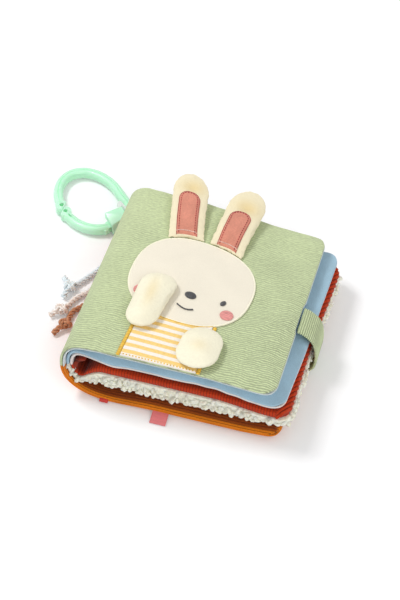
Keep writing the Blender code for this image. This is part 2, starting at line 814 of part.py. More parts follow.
def build_paw(name, root, length, half, lean, spread, direction, seat, parent, plush):
    """A padded paw sewn down at one end, lying on the head or body."""
    def place(u, v, face):
        across, along = round_corner(crowd(u) * half, crowd(v) * length / 2, half,
                                     length / 2, half * 0.92)
        share = along / length + 0.5
        x = root[0] + across * (1 + spread * (share - 0.5)) + lean * share
        y = root[1] + direction * share * length
        rim = min(half - abs(across), length / 2 - abs(along))
        full = plump(rim, half)
        thickness = PAW_RIM + (PAW_THICKNESS - PAW_RIM) * full
        floor = cover_height(x, max(y, -HALF_HEIGHT)) + seat
        lower = floor + (PAW_THICKNESS - thickness) * PAW_TUCK_SHARE
        return Vector((x, y, lower + face * thickness))

    slab(name, 10, 12, place, plush, parent)


def strap_route():
    """The middle line of the strap, from the cover's fore edge round to its underside."""
    root_x = FORE_X + GAP + STRAP_THICKNESS / 2
    root_z = cover_height(FORE_X, STRAP_CENTRE_Y) - STRAP_ROOT_DEPTH
    bulge_x = FORE_X + STRAP_BULGE
    end_x = FORE_X + BACK_FORE_OVERHANG - STRAP_END_REACH
    under = STRAP_THICKNESS / 2 + 4 * GAP + 2 * FASTENER_THICKNESS
    rim_x = FORE_X + BACK_FORE_OVERHANG
    tucked = []
    for step in range(5):
        x = rim_x + (end_x - rim_x) * step / 4
        z = back_under(x, STRAP_CENTRE_Y) - under
        tucked.append((x, max(z, STRAP_THICKNESS / 2 + GAP)))
    points = (
        (root_x, root_z),
        (root_x + STRAP_BULGE * 0.34, root_z - root_z * 0.05),
        (bulge_x - STRAP_BULGE * 0.18, root_z * 0.80),
        (bulge_x, root_z * 0.52),
        (bulge_x - STRAP_BULGE * 0.05, root_z * 0.24),
        (rim_x + STRAP_BULGE * 0.34, tucked[0][1] * 1.1),
        *tucked,
    )
    return [(x, STRAP_CENTRE_Y, z) for x, z in points]


def build_strap(parent, cloth, hook, loop):
    """The closing strap, the hook patch on its end and the loop patch on the cover."""
    route = smooth_route(strap_route(), STRAP_WIDTH / 10)
    strip("closure_strap", route, (0, 1, 0), STRAP_WIDTH, STRAP_THICKNESS, cloth, parent)
    end_x = FORE_X + BACK_FORE_OVERHANG - STRAP_END_REACH

    def patch(top):
        def place(u, v, face):
            x = end_x + GAP + FASTENER_LENGTH * (u + 1) / 2
            y = STRAP_CENTRE_Y + v * (STRAP_WIDTH / 2 - FASTENER_MARGIN)
            return Vector((x, y, back_under(x, y) - top - (1 - face) * FASTENER_THICKNESS))
        return place

    slab("hook_patch", 4, 4, patch(2 * GAP + FASTENER_THICKNESS), hook, parent)
    slab("loop_patch", 4, 4, patch(GAP), loop)


def build_gutter_strip(parent, corduroy):
    """The corduroy that turns up in the gutter between the two leaves."""
    foot_x = leaf_fold_x() + LEAF_ROOT_WALL + GAP + GUTTER_STRIP_THICKNESS / 2
    foot_z = HINGE_HEIGHT - GUTTER_STRIP_DROP
    points = (
        (foot_x, 0, foot_z),
        (foot_x + GUTTER_STRIP_REACH * 0.05, 0, foot_z + GUTTER_STRIP_RISE * 0.30),
        (foot_x + GUTTER_STRIP_REACH * 0.35, 0, foot_z + GUTTER_STRIP_RISE * 0.65),
        (foot_x + GUTTER_STRIP_REACH, 0, foot_z + GUTTER_STRIP_RISE),
    )
    route = smooth_route(points, GUTTER_STRIP_THICKNESS)
    strip("gutter_strip", route, (0, 1, 0), LEAF_HEIGHT - CORDUROY_INSET,
          GUTTER_STRIP_THICKNESS, corduroy, parent)


def build_tags(pink, red):
    """Two blank folded ribbon tags sewn into the near edge of the back cover."""
    def tag(centre_x, width, length, drop):
        def place(u, v, face):
            x = centre_x + u * width / 2
            out = (1 - v) / 2
            y = -HALF_HEIGHT - GAP - out * length
            z = TAG_HEIGHT - drop * out + (face - 0.5) * TAG_THICKNESS
            return Vector((x, y, z))
        return place

    drop = TAG_HEIGHT - TAG_THICKNESS / 2 - GAP
    slab("pink_tag", 4, 6, tag(PINK_TAG_X, PINK_TAG_WIDTH, PINK_TAG_LENGTH, drop), pink)
    slab("red_tag", 3, 3, tag(RED_TAG_X, RED_TAG_WIDTH, RED_TAG_LENGTH, drop / 2), red)


def ring_point(angle):
    """A point of the ring's oval middle line in the ring's own plane."""
    length = RING_FRONT_LENGTH if math.cos(angle) > 0 else RING_BACK_LENGTH
    return Vector((length * math.cos(angle), RING_HALF_WIDTH * math.sin(angle)))


def shoulder_point(angle):
    """A point of the frame's shoulder, where its straight stretch turns to the block."""
    return Vector((RING_STRAIGHT + RING_SHOULDER * math.cos(angle),
                   RING_HALF_WIDTH - RING_SHOULDER * (1 - math.sin(angle))))


def frame_route():
    """The frame's middle line: from the block over the shoulder and round to the snap."""
    quarter = math.pi / 2
    shoulder = [shoulder_point(quarter * step / 7) for step in range(7)]
    straight = [Vector((RING_STRAIGHT * (1 - step / 4), RING_HALF_WIDTH))
                for step in range(4)]
    back = [ring_point(quarter + (FRAME_END - quarter) * step / 24) for step in range(25)]
    return shoulder + straight + back


def gate_route():
    """The gate's middle line, from the snap to the block."""
    return [ring_point(GATE_START + (GATE_END - GATE_START) * step / 11)
            for step in range(12)]


def ring_to_world(point):
    """Moves a point from the ring's own plane to the table."""
    turned = Matrix.Rotation(RING_TURN, 2) @ Vector(point)
    return Vector((RING_CENTRE[0] + turned.x, RING_CENTRE[1] + turned.y))


def ring_section():
    """The outline of the ring's bar: an upright oval with a groove along its crown."""
    points = []
    count = 12
    for step in range(count):
        angle = math.pi / 2 + 2 * math.pi * (step + 0.5) / count
        x, y = squared(math.cos(angle), math.sin(angle), RING_SQUARENESS)
        points.append((RING_BAR_WIDTH / 2 * x, RING_BAR_HEIGHT / 2 * y))
    crown = RING_BAR_HEIGHT / 2
    points.append((RING_GROOVE_WIDTH / 2, crown))
    points.append((0.0, crown - RING_GROOVE_DEPTH))
    points.insert(0, (-RING_GROOVE_WIDTH / 2, crown))
    return points


def ring_bar(name, route):
    """A stretch of the ring's bar along a route in the ring's own plane."""
    outline = bpy.data.curves.new(f"{name}_section", "CURVE")
    outline.dimensions = "2D"
    spline = outline.splines.new("POLY")
    section = ring_section()
    spline.points.add(len(section) - 1)
    for point, (x, y) in zip(spline.points, section):
        point.co = (x, y, 0.0, 1.0)
    spline.use_cyclic_u = True
    guide = bpy.data.objects.new(f"{name}_section", outline)
    bpy.data.collections[CUTTERS].objects.link(guide)
    curve = bpy.data.curves.new(name, "CURVE")
    curve.dimensions = "3D"
    curve.twist_mode = "Z_UP"
    curve.bevel_mode = "OBJECT"
    curve.bevel_object = guide
    curve.use_fill_caps = True
    path = curve.splines.new("POLY")
    path.points.add(len(route) - 1)
    for point, place in zip(path.points, route):
        point.co = (place.x, place.y, RING_BAR_HEIGHT / 2, 1.0)
    bar = bpy.data.objects.new(name, curve)
    bpy.data.collections[CUTTERS].objects.link(bar)
    bar = as_mesh(bar)
    bpy.data.objects.remove(guide)
    return bar


def hinge_block(name):
    """The block that holds the gate's pin: a leaning nose and one corner cut down."""
    bm = bmesh.new()
    bmesh.ops.create_cube(bm, size=1)
    bmesh.ops.scale(bm, vec=Vector((*BLOCK_SIZE, BLOCK_HEIGHT)), verts=bm.verts)
    top = {(vert.co.x > 0, vert.co.y > 0): vert for vert in bm.verts if vert.co.z > 0}
    bmesh.ops.connect_verts(bm, verts=[top[False, False], top[True, True]])
    top[True, True].co.x -= BLOCK_NOSE
    lowered = top[True, False]
    lowered.co.x -= BLOCK_NOSE * (BLOCK_HEIGHT - BLOCK_CORNER_DROP) / BLOCK_HEIGHT
    lowered.co.z -= BLOCK_CORNER_DROP
    mesh = bpy.data.meshes.new(name)
    bm.to_mesh(mesh)
    bm.free()
    return bpy.data.objects.new(name, mesh)


def put_in_ring(tool, place, height, turn=0.0):
    """Sets a tool at a place in the ring's own plane."""
    tool.location = (place[0], place[1], height)
    tool.rotation_euler = (0, 0, turn)


def build_ring(parent, gate_parent, mint):
    """The ring clip: a fixed bar with its hinge block, a gate, and the hinge pin."""
    mid_height = RING_BAR_HEIGHT / 2
    split_place = ring_point((FRAME_END + GATE_START) / 2)
    split_width = OVERRUN * 3
    toward_pin = (Vector(PIN_AT) - split_place).normalized()
    split_turn = math.atan2(toward_pin.y, toward_pin.x) - math.pi / 2
    shift = split_width / 2 - GAP
    eye_top = mid_height + EYELET_HEIGHT / 2
    hole_length = EYELET_DEPTH + OVERRUN

    def finish_snap_end(bar, label, eye_place, side):
        """Adds the eyelet of a bar's snap end, sinks its hole and trims the end face."""
        eye = cylinder(f"{label}_eye", EYELET_RADIUS, EYELET_HEIGHT)
        put_in_ring(eye, eye_place, mid_height)
        boolean(bar, eye, "UNION")
        hole = cylinder(f"{label}_eye_hole", EYELET_HOLE, hole_length, 16)
        put_in_ring(hole, eye_place, eye_top - EYELET_DEPTH + hole_length / 2)
        boolean(bar, hole, "DIFFERENCE")
        gap = box(f"{label}_split", (RING_BAR_WIDTH * 2, split_width, BLOCK_HEIGHT))
        put_in_ring(gap, split_place + toward_pin * shift * side, BLOCK_HEIGHT / 2,
                    split_turn)
        boolean(bar, gap, "DIFFERENCE")

    frame = ring_bar("ring_frame", frame_route())
    block = hinge_block("ring_block")
    edge = block.modifiers.new("edge", "BEVEL")
    edge.width = BLOCK_EDGE
    edge.segments = 2
    put_in_ring(block, BLOCK_AT, BLOCK_HEIGHT / 2)
    boolean(frame, block, "UNION")
    clevis_reach = BLOCK_SIZE[0] + OVERRUN
    clevis = box("clevis_cut", (clevis_reach, clevis_reach, TONGUE_HEIGHT + 2 * GAP))
    put_in_ring(clevis, (PIN_AT[0] + CLEVIS_BACK - clevis_reach / 2,
                         PIN_AT[1] + CLEVIS_BACK - clevis_reach / 2), mid_height)
    boolean(frame, clevis, "DIFFERENCE")
    bore_length = PIN_TOP + GAP + OVERRUN
    bore = cylinder("frame_pin_hole", PIN_RADIUS + GAP, bore_length, 16)
    put_in_ring(bore, PIN_AT, bore_length / 2 - OVERRUN)
    boolean(frame, bore, "DIFFERENCE")
    finish_snap_end(frame, "frame", ring_point(FRAME_END - EYELET_SETBACK), 1)

    gate = ring_bar("ring_gate", gate_route())
    gate_tip = ring_point(GATE_END)
    toward = Vector(PIN_AT) - gate_tip
    tongue_root = gate_tip - toward.normalized() * TONGUE_WIDTH
    tongue = box("gate_tongue", ((Vector(PIN_AT) - tongue_root).length, TONGUE_WIDTH,
                                 TONGUE_HEIGHT))
    put_in_ring(tongue, (tongue_root + Vector(PIN_AT)) / 2, mid_height,
                math.atan2(toward.y, toward.x))
    boolean(gate, tongue, "UNION")
    knuckle = cylinder("gate_knuckle", TONGUE_RADIUS, TONGUE_HEIGHT)
    put_in_ring(knuckle, PIN_AT, mid_height)
    boolean(gate, knuckle, "UNION")
    bore = cylinder("gate_pin_hole", PIN_RADIUS + GAP, BLOCK_HEIGHT * 2, 16)
    put_in_ring(bore, PIN_AT, mid_height)
    boolean(gate, bore, "DIFFERENCE")
    slot = box("gate_slot", (*GATE_SLOT, GATE_SLOT_DEPTH + OVERRUN))
    slot_place = ring_point(GATE_SLOT_ANGLE)
    heading = ring_point(GATE_SLOT_ANGLE + LOOP_STEP) - slot_place
    put_in_ring(slot, slot_place, RING_BAR_HEIGHT + (OVERRUN - GATE_SLOT_DEPTH) / 2,
                math.atan2(heading.y, heading.x))
    boolean(gate, slot, "DIFFERENCE")
    finish_snap_end(gate, "gate", ring_point(GATE_START + EYELET_SETBACK), -1)

    pin_length = PIN_TOP - PIN_SETBACK
    pin = cylinder("gate_pin", PIN_RADIUS, pin_length, 16)
    put_in_ring(pin, PIN_AT, PIN_SETBACK + pin_length / 2)
    return {"ring_frame": (frame, parent, mint), "ring_gate": (gate, gate_parent, mint),
            "gate_pin": (pin, parent, mint)}


def bake(name, part, parent, finish):
    """Applies a ring piece's joins and cuts and lays it on the table in its place."""
    if name not in bpy.data.collections[BOOK].objects:
        bpy.data.collections[BOOK].objects.link(part)
    depsgraph = bpy.context.evaluated_depsgraph_get()
    depsgraph.update()
    mesh = bpy.data.meshes.new_from_object(part.evaluated_get(depsgraph))
    flat = part.matrix_world.copy()
    lay = (Matrix.Translation((*RING_CENTRE, RING_LIFT))
           @ Matrix.Rotation(RING_TURN, 4, "Z") @ flat)
    mesh.transform(lay)
    bm = bmesh.new()
    bm.from_mesh(mesh)
    bmesh.ops.remove_doubles(bm, verts=bm.verts, dist=GAP / 30)
    bmesh.ops.dissolve_degenerate(bm, edges=bm.edges, dist=GAP / 30)
    bm.to_mesh(mesh)
    bm.free()
    mesh.shade_smooth()
    mesh.set_sharp_from_angle(angle=math.radians(35))
    bpy.data.objects.remove(part)
    made = new_object(name, mesh, finish, parent)
    made.name = name
    return made


def build_ring_loop(ribbon):
    """The ribbon loop from the head of the spine, down round the ring's bar."""
    bar = ring_to_world(shoulder_point(LOOP_ANGLE))
    root = Vector((SPINE_X + LOOP_ROOT_INSET, HALF_HEIGHT + LOOP_ROOT_REACH,
                   LOOP_ROOT_HEIGHT))
    centre = Vector((bar.x, bar.y, RING_LIFT + RING_BAR_HEIGHT / 2))
    ahead = ring_to_world(shoulder_point(LOOP_ANGLE + LOOP_STEP))
    across = Vector((ahead.x - bar.x, ahead.y - bar.y, 0)).normalized()
    flat = across.cross(Vector((0, 0, 1)))
    if flat.dot(root - centre) > 0:
        flat.negate()
    half_wide = RING_BAR_WIDTH / 2 + LOOP_CLEARANCE + LOOP_THICKNESS
    half_tall = RING_BAR_HEIGHT / 2 + LOOP_CLEARANCE + LOOP_THICKNESS
    low = LOOP_THICKNESS / 2 + GAP / 2
    apart = LOOP_THICKNESS / 2 + GAP / 2
    points = (
        root + flat * apart,
        root.lerp(centre, 0.45) + flat * (apart + half_wide * 0.45),
        centre + flat * half_wide * 0.85 + Vector((0, 0, half_tall * 0.75)),
        centre + flat * half_wide * 1.15,
        Vector((centre.x, centre.y, low)) + flat * half_wide * 0.6,
        Vector((centre.x, centre.y, low)) - flat * half_wide * 0.6,
        centre - flat * half_wide * 1.15,
        centre - flat * half_wide * 0.85 + Vector((0, 0, half_tall * 0.75)),
        root.lerp(centre, 0.45) - flat * (apart + half_wide * 0.45),
        root - flat * apart,
    )
    route = smooth_route(points, LOOP_WIDTH / 3)
    strip("ring_loop", route, across, LOOP_WIDTH, LOOP_THICKNESS, ribbon)


def build_cord(colour_name, route, knot, tails, finish):
    """One cord sewn into the spine, its knot and the tails beyond the knot."""
    heading = (Vector(knot) - Vector(route[-1])).normalized()
    last = Vector(knot) - heading * KNOT_POCKET
    tube(f"cord_{colour_name}", (*route, last), CORD_DIAMETER, finish)
    bm = bmesh.new()
    bmesh.ops.create_uvsphere(bm, u_segments=14, v_segments=10, radius=KNOT_RADIUS)
    mesh = bpy.data.meshes.new(f"knot_{colour_name}")
    bm.to_mesh(mesh)
    bm.free()
    for vert in mesh.vertices:
        vert.co.z *= knot[2] / KNOT_RADIUS - GAP / KNOT_RADIUS
    part = bpy.data.objects.new(f"knot_{colour_name}", mesh)
    part.location = knot
    bpy.data.collections[BOOK].objects.link(part)
    part.data.materials.append(finish)
    for index, tail in enumerate(tails):
        reach = Vector(tail) - Vector(knot)
        bm = bmesh.new()
        bmesh.ops.create_cone(bm, cap_ends=True, segments=10,
                              radius1=CORD_DIAMETER / 2 * TAIL_TAPER_SHARE,
                              radius2=CORD_DIAMETER / 2, depth=reach.length)
        tool_mesh = bpy.data.meshes.new(f"tail_{colour_name}_{index}")
        bm.to_mesh(tool_mesh)
        bm.free()
        tool = bpy.data.objects.new(tool_mesh.name, tool_mesh)
        tool.location = Vector(knot) + reach * 0.5
        tool.rotation_euler = reach.to_track_quat("Z", "Y").to_euler()
        boolean(part, tool, "UNION")
    cut = cylinder(f"cord_clear_{colour_name}", CORD_DIAMETER / 2 + 2 * GAP, KNOT_RADIUS * 2,
                   12)
    cut.location = last - heading * (KNOT_RADIUS - GAP)
    cut.rotation_euler = heading.to_track_quat("Z", "Y").to_euler()
    boolean(part, cut, "DIFFERENCE")
    part.data.shade_smooth()


def hinge_empty(name, place):
    """An empty that stands on a joint's axis and carries its pieces."""
    empty = bpy.data.objects.new(name, None)
    empty.location = place
    bpy.data.collections[BOOK].objects.link(empty)
    return empty


def clear_scene():
    """Removes what the scene holds and adds the two collections."""
    for item in list(bpy.data.objects):
        bpy.data.objects.remove(item)
    for name in (BOOK, CUTTERS):
        collection = bpy.data.collections.new(name)
        bpy.context.scene.collection.children.link(collection)


def build_book():
    """Builds every piece of the closed book."""
    clear_scene()
    green = material("green_ribbed_cloth", (0.56, 0.68, 0.38), 0.95)
    caramel = material("caramel_corduroy", (0.60, 0.20, 0.03), 0.95)
    caramel_inside = material("caramel_lining", (0.38, 0.10, 0.02), 0.95)
    pale = material("pale_lining", (0.62, 0.68, 0.72), 0.95)
    wadding = material("white_wadding", (0.85, 0.85, 0.83), 0.98)
    film = material("crinkle_film", (0.80, 0.82, 0.84), 0.35)
    blue = material("blue_velour", (0.27, 0.42, 0.50), 0.90)
    cream_cloth = material("pale_page_cloth", (0.75, 0.72, 0.68), 0.95)
    rust = material("rust_corduroy", (0.38, 0.03, 0.01), 0.90)
    sherpa = material("cream_sherpa", (0.80, 0.76, 0.66), 1.0)
    cream = material("cream_velour", (0.88, 0.85, 0.72), 0.90)
    plush = material("cream_plush", (0.92, 0.87, 0.68), 1.0)
    pink = material("salmon_plush", (0.72, 0.25, 0.20), 0.95)
    thread = material("grey_thread", (0.05, 0.05, 0.06), 0.60)
    cheek = material("pink_thread", (0.72, 0.22, 0.22), 0.60)
    stripe = material("yellow_striped_jersey", (0.90, 0.68, 0.30), 0.90)
    satin = material("golden_satin_thread", (0.85, 0.45, 0.04), 0.45)
    tag_pink = material("pink_satin_ribbon", (0.72, 0.18, 0.22), 0.40)
    tag_red = material("red_satin_ribbon", (0.50, 0.02, 0.02), 0.40)
    hook = material("hook_tape", (0.60, 0.68, 0.48), 0.70)
    loop = material("loop_tape", (0.55, 0.25, 0.08), 0.90)
    mint = material("mint_plastic", (0.42, 0.91, 0.58), 0.30)
    cord_blue = material("pale_blue_cord", (0.62, 0.78, 0.86), 0.80)
    cord_peach = material("peach_cord", (0.95, 0.76, 0.66), 0.80)
    cord_brown = material("brown_cord", (0.40, 0.14, 0.06), 0.80)

    hinge = (SPINE_X, 0.0, HINGE_HEIGHT)
    cover_hinge = hinge_empty("front_cover_hinge", hinge)
    page_one_hinge = hinge_empty("page_1_hinge", hinge)
    page_two_hinge = hinge_empty("page_2_hinge", hinge)
    build_cover(1, ("front_cover_cloth", "front_cover_wadding", "front_cover_lining"),
                (green, wadding, pale), cover_hinge)
    build_cover(-1, ("back_cover_cloth", "back_cover_wadding", "back_cover_lining"),
                (caramel, wadding, caramel_inside), None)
    build_page_one(page_one_hinge, blue, film, cream_cloth)
    build_page_two(page_two_hinge, rust, film, sherpa)
    build_gutter_strip(page_two_hinge, rust)
    build_face(cover_hinge, {"cream": cream, "thread": thread, "cheek": cheek,
                             "stripe": stripe, "satin": satin})
    for side, root, lean in (("left", LEFT_EAR_ROOT, LEFT_EAR_LEAN),
                             ("right", RIGHT_EAR_ROOT, RIGHT_EAR_LEAN)):
        seam = (*root, cover_height(*root) + GAP + EAR_BASE_THICKNESS)
        build_ear(side, root, lean, hinge_empty(f"ear_{side}_hinge", seam), plush, pink)
    for name, root, length, half, lean, spread, direction, seat in (
            ("paw_left", LEFT_PAW_ROOT, LEFT_PAW_LENGTH, LEFT_PAW_HALF_WIDTH,
             LEFT_PAW_LEAN, LEFT_PAW_SPREAD_SHARE, 1, LEFT_PAW_SEAT),
            ("paw_right", RIGHT_PAW_ROOT, RIGHT_PAW_LENGTH, RIGHT_PAW_HALF_WIDTH,
             RIGHT_PAW_LEAN, RIGHT_PAW_SPREAD_SHARE, -1, RIGHT_PAW_SEAT)):
        rim = PAW_RIM + (PAW_THICKNESS - PAW_RIM) * PAW_TUCK_SHARE
        seam = (*root, cover_height(*root) + seat + rim)
        build_paw(name, root, length, half, lean, spread, direction, seat,
                  hinge_empty(f"{name}_hinge", seam), plush)
    strap_root = strap_route()[0]
    build_strap(hinge_empty("strap_hinge", strap_root), green, hook, loop)
    build_tags(tag_pink, tag_red)
    ring_seat = ring_to_world(shoulder_point(LOOP_ANGLE))
    ring_pivot = hinge_empty("ring_pivot", (ring_seat.x, ring_seat.y, RING_LIFT))
    gate_place = ring_to_world(PIN_AT)
    gate_pivot = hinge_empty("gate_pivot", (gate_place.x, gate_place.y, RING_LIFT))
    for name, (part, parent, finish) in build_ring(ring_pivot, gate_pivot,
                                                   mint).items():
        bake(name, part, parent, finish)
    build_ring_loop(pale)
    build_cord("blue", BLUE_ROUTE, BLUE_KNOT, BLUE_TAILS, cord_blue)
    build_cord("peach", PEACH_ROUTE, PEACH_KNOT, PEACH_TAILS, cord_peach)
    build_cord("brown", BROWN_ROUTE, BROWN_KNOT, BROWN_TAILS, cord_brown)


build_book()
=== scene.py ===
"""A crinkle cloth book for a baby, dressed in its cloths, plush, cords and plastic ring clip.

Lengths are in metres. The book lies closed on its back cover: +X runs from the spine to the
fore edge, +Y to the head of the book, and the table is at zero height.
"""
import math

import bmesh
import bpy
import numpy as np
from bpy.props import FloatProperty, FloatVectorProperty, IntProperty, PointerProperty
from mathutils import Matrix, Vector
from mathutils.bvhtree import BVHTree


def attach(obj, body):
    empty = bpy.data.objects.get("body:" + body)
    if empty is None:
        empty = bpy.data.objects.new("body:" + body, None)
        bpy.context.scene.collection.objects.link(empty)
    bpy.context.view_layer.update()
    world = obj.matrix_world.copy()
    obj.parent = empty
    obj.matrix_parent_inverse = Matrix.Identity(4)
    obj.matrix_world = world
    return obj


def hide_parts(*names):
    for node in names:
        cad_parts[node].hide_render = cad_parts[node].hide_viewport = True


bl_info = {
    "name": "Crinkle cloth book",
    "version": (1, 0, 0),
    "blender": (4, 5, 0),
    "location": "3D View > Sidebar > Cloth Book",
    "description": "Builds the cloths, plush, cords and ring clip of a crinkle cloth book",
    "category": "Object",
}

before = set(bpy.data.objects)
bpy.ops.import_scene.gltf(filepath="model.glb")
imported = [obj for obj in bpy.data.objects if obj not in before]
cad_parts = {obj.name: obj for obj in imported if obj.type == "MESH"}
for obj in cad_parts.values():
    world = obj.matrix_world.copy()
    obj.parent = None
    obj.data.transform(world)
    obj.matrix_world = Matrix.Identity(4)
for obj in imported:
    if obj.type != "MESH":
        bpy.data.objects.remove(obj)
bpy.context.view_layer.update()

# The form of the closed book, as its solids have it
GAP = 0.0003
PANEL_WIDTH = 0.150
PANEL_HEIGHT = 0.153
BOOK_THICKNESS = 0.057
HINGE_HEIGHT = 0.030
SETTLE_SHARE = 0.20
SETTLE_START = 0.045
CORNER_RADIUS = 0.009
SPINE_X = -PANEL_WIDTH / 2
FORE_X = PANEL_WIDTH / 2
HALF_HEIGHT = PANEL_HEIGHT / 2
ROLL_WIDTH = 0.011
SPINE_FULLNESS = 0.86
COVER_CLOTH = 0.0018
COVER_LINING = 0.0012
FRONT_PADDED = 0.0075
BACK_PADDED = 0.0082
COVER_ROLL = 0.0024
FRONT_SPINE_REACH = 0.020
BACK_SPINE_REACH = 0.042
FORE_DROOP = 0.0020
BACK_FORE_OVERHANG = 0.0050
BACK_FORE_LIFT = 0.0060
LIFT_LENGTH = 0.030
LEAF_HEIGHT = 0.1475
LEAF_ROLL = 0.0022
LEAF_ROOT_WALL = 0.0045
LEAF_FOLD_X = SPINE_X + COVER_CLOTH + GAP + COVER_LINING + GAP
DROOP_LENGTH = 0.044
APPLIQUE = 0.0012
FEATURE = 0.0008
HEAD_CENTRE = (-0.0033, -0.0009)
HEAD_HALF = (0.0438, 0.0378)
HEAD_TILT = math.radians(-4)
HEAD_SQUARENESS = 2.4
BODY_LEFT = -0.0308
BODY_RIGHT = 0.0216
BODY_LEAN = 0.0030
BODY_FOOT = -HALF_HEIGHT - 0.0005
STRAP_CENTRE_Y = -0.0042
STRAP_WIDTH = 0.0215
STRAP_THICKNESS = 0.0012
STRAP_END_REACH = 0.0072
RING_CENTRE = (SPINE_X - 0.0385, HALF_HEIGHT + 0.0210)
RING_TURN = math.radians(-45)
RING_LIFT = 0.0011
RING_BACK, RING_FRONT, RING_HALF_WIDTH = 0.0330, 0.0312, 0.0229
RING_STRAIGHT, RING_SHOULDER = 0.0165, 0.0112
RING_BAR = (0.0074, 0.0080)
RING_SQUARENESS = 2.5
CORD_DIAMETER = 0.0046
KNOT_RADIUS = 0.0052
KNOT_POCKET = 0.0034
WALES_PER_SEGMENT = 2.2
CORDS = {
    "blue": {
        "route": ((-0.0761, 0.0425, 0.0230), (-0.0788, 0.0412, 0.0175),
                  (-0.0820, 0.0388, 0.0095), (-0.0845, 0.0362, 0.0046),
                  (-0.0882, 0.0312, 0.0026), (-0.0925, 0.0240, 0.0026),
                  (-0.0962, 0.0180, 0.0026)),
        "knot": (-0.1002, 0.0118, 0.0050),
        "tails": ((-0.1082, 0.0205, 0.0026), (-0.1028, 0.0022, 0.0026)),
    },
    "peach": {
        "route": ((-0.0761, 0.0215, 0.0230), (-0.0788, 0.0198, 0.0175),
                  (-0.0818, 0.0172, 0.0095), (-0.0843, 0.0140, 0.0046),
                  (-0.0880, 0.0105, 0.0026), (-0.0925, 0.0055, 0.0026),
                  (-0.0952, 0.0000, 0.0026), (-0.0968, -0.0045, 0.0026)),
        "knot": (-0.0990, -0.0103, 0.0050),
        "tails": ((-0.1065, -0.0165, 0.0026),),
    },
    "brown": {
        "route": ((-0.0761, 0.0050, 0.0230), (-0.0788, 0.0034, 0.0175),
                  (-0.0820, 0.0014, 0.0095), (-0.0845, -0.0010, 0.0046),
                  (-0.0880, -0.0040, 0.0027), (-0.0912, -0.0085, 0.0026),
                  (-0.0920, -0.0145, 0.0026), (-0.0921, -0.0160, 0.0026)),
        "knot": (-0.0922, -0.0222, 0.0050),
        "tails": ((-0.0985, -0.0320, 0.0026),),
    },
}


# Arithmetic of the book's form, on arrays

def ease(value):
    """Smooth step from 0 to 1."""
    value = np.clip(value, 0.0, 1.0)
    return value * value * (3.0 - 2.0 * value)


def crowd(value):
    """Moves evenly spaced grid lines towards the rims, from -1 to 1."""
    return np.sin(np.pi / 2 * value)


def plump(distance, roll):
    """How full a padded piece is at a distance from its rim, from 0 to 1."""
    return np.sin(np.pi / 2 * np.clip(distance / roll, 0.0, 1.0))


def settled(x, y):
    """The share of its height that the stack keeps at a place in plan."""
    along = ease((x + SETTLE_START) / (FORE_X + SETTLE_START))
    across = np.clip(0.5 + y / PANEL_HEIGHT, 0.0, 1.0)
    return 1.0 - SETTLE_SHARE * along * across


def round_corner(x, y, half_x, half_y, radius):
    """Moves the points of a rectangle so that its corners are arcs of the given radius."""
    over_x = np.abs(x) - (half_x - radius)
    over_y = np.abs(y) - (half_y - radius)
    outside = (over_x > 0) & (over_y > 0)
    share = np.maximum(over_x, over_y) / np.maximum(np.hypot(over_x, over_y), 1e-9)
    return (np.where(outside, np.copysign(half_x - radius + over_x * share, x), x),
            np.where(outside, np.copysign(half_y - radius + over_y * share, y), y))


def cover_height(x, y):
    """The height of the front cover's outer face away from its rims."""
    droop = FORE_DROOP * ease((x - SPINE_X - FRONT_SPINE_REACH) / PANEL_WIDTH)
    return (BOOK_THICKNESS - droop) * settled(x, y)


def drawn_up(x, y, rim):
    """How far the animal's stitching draws up the front cover's near edge."""
    middle = 1 - ease((np.abs(x + 0.004) - 0.034) / 0.034)
    return 0.0022 * (1 - plump(rim, ROLL_WIDTH)) * middle * (y < 0)


def cover_face(x, y):
    """The height of the front cover's outer face at any place on its flat panel."""
    rim = np.minimum(FORE_X - x, HALF_HEIGHT - np.abs(y))
    level = cover_height(x, y) - COVER_ROLL * (1.0 - plump(rim, ROLL_WIDTH))
    return level + drawn_up(x, y, rim)


def back_lift(x):
    """How far the back cover's fore edge curls up off the table."""
    share = np.maximum(0.0, (x - (FORE_X + BACK_FORE_OVERHANG - LIFT_LENGTH)) / LIFT_LENGTH)
    return BACK_FORE_LIFT * share ** 1.5


def back_under(x, y):
    """The height of the back cover's underside near its fore edge."""
    rim = np.minimum(FORE_X + BACK_FORE_OVERHANG - x, HALF_HEIGHT - np.abs(y))
    return (back_lift(x) + COVER_ROLL * (1.0 - plump(rim, ROLL_WIDTH))) * settled(x, y)


def ripple(x, y, wavelength, seed, stretch=1.0):
    """Smooth seeded unevenness from about -1 to 1; stretch lengthens it along x."""
    chance = np.random.default_rng(seed)
    total = 0.0
    for _ in range(7):
        turn = chance.uniform(0, 2 * np.pi)
        pace = 2 * np.pi * chance.uniform(0.7, 1.5) / wavelength
        total = total + np.sin(pace * (x * np.cos(turn) / stretch + y * np.sin(turn))
                               + chance.uniform(0, 2 * np.pi))
    return total / 4.0


def near_spot(x, y, centre, reach):
    """1 at a spot, falling softly to 0 around it; reach is its half size along x and y."""
    away = ((x - centre[0]) / reach[0]) ** 2 + ((y - centre[1]) / reach[1]) ** 2
    return np.exp(-away)


def head_share(x, y):
    """The distance from the head's centre as a share of the way to its outline."""
    cos, sin = math.cos(HEAD_TILT), math.sin(HEAD_TILT)
    over_x, over_y = x - HEAD_CENTRE[0], y - HEAD_CENTRE[1]
    along = np.abs((over_x * cos + over_y * sin) / HEAD_HALF[0]) ** HEAD_SQUARENESS
    up = np.abs((over_y * cos - over_x * sin) / HEAD_HALF[1]) ** HEAD_SQUARENESS
    return (along + up) ** (1 / HEAD_SQUARENESS)


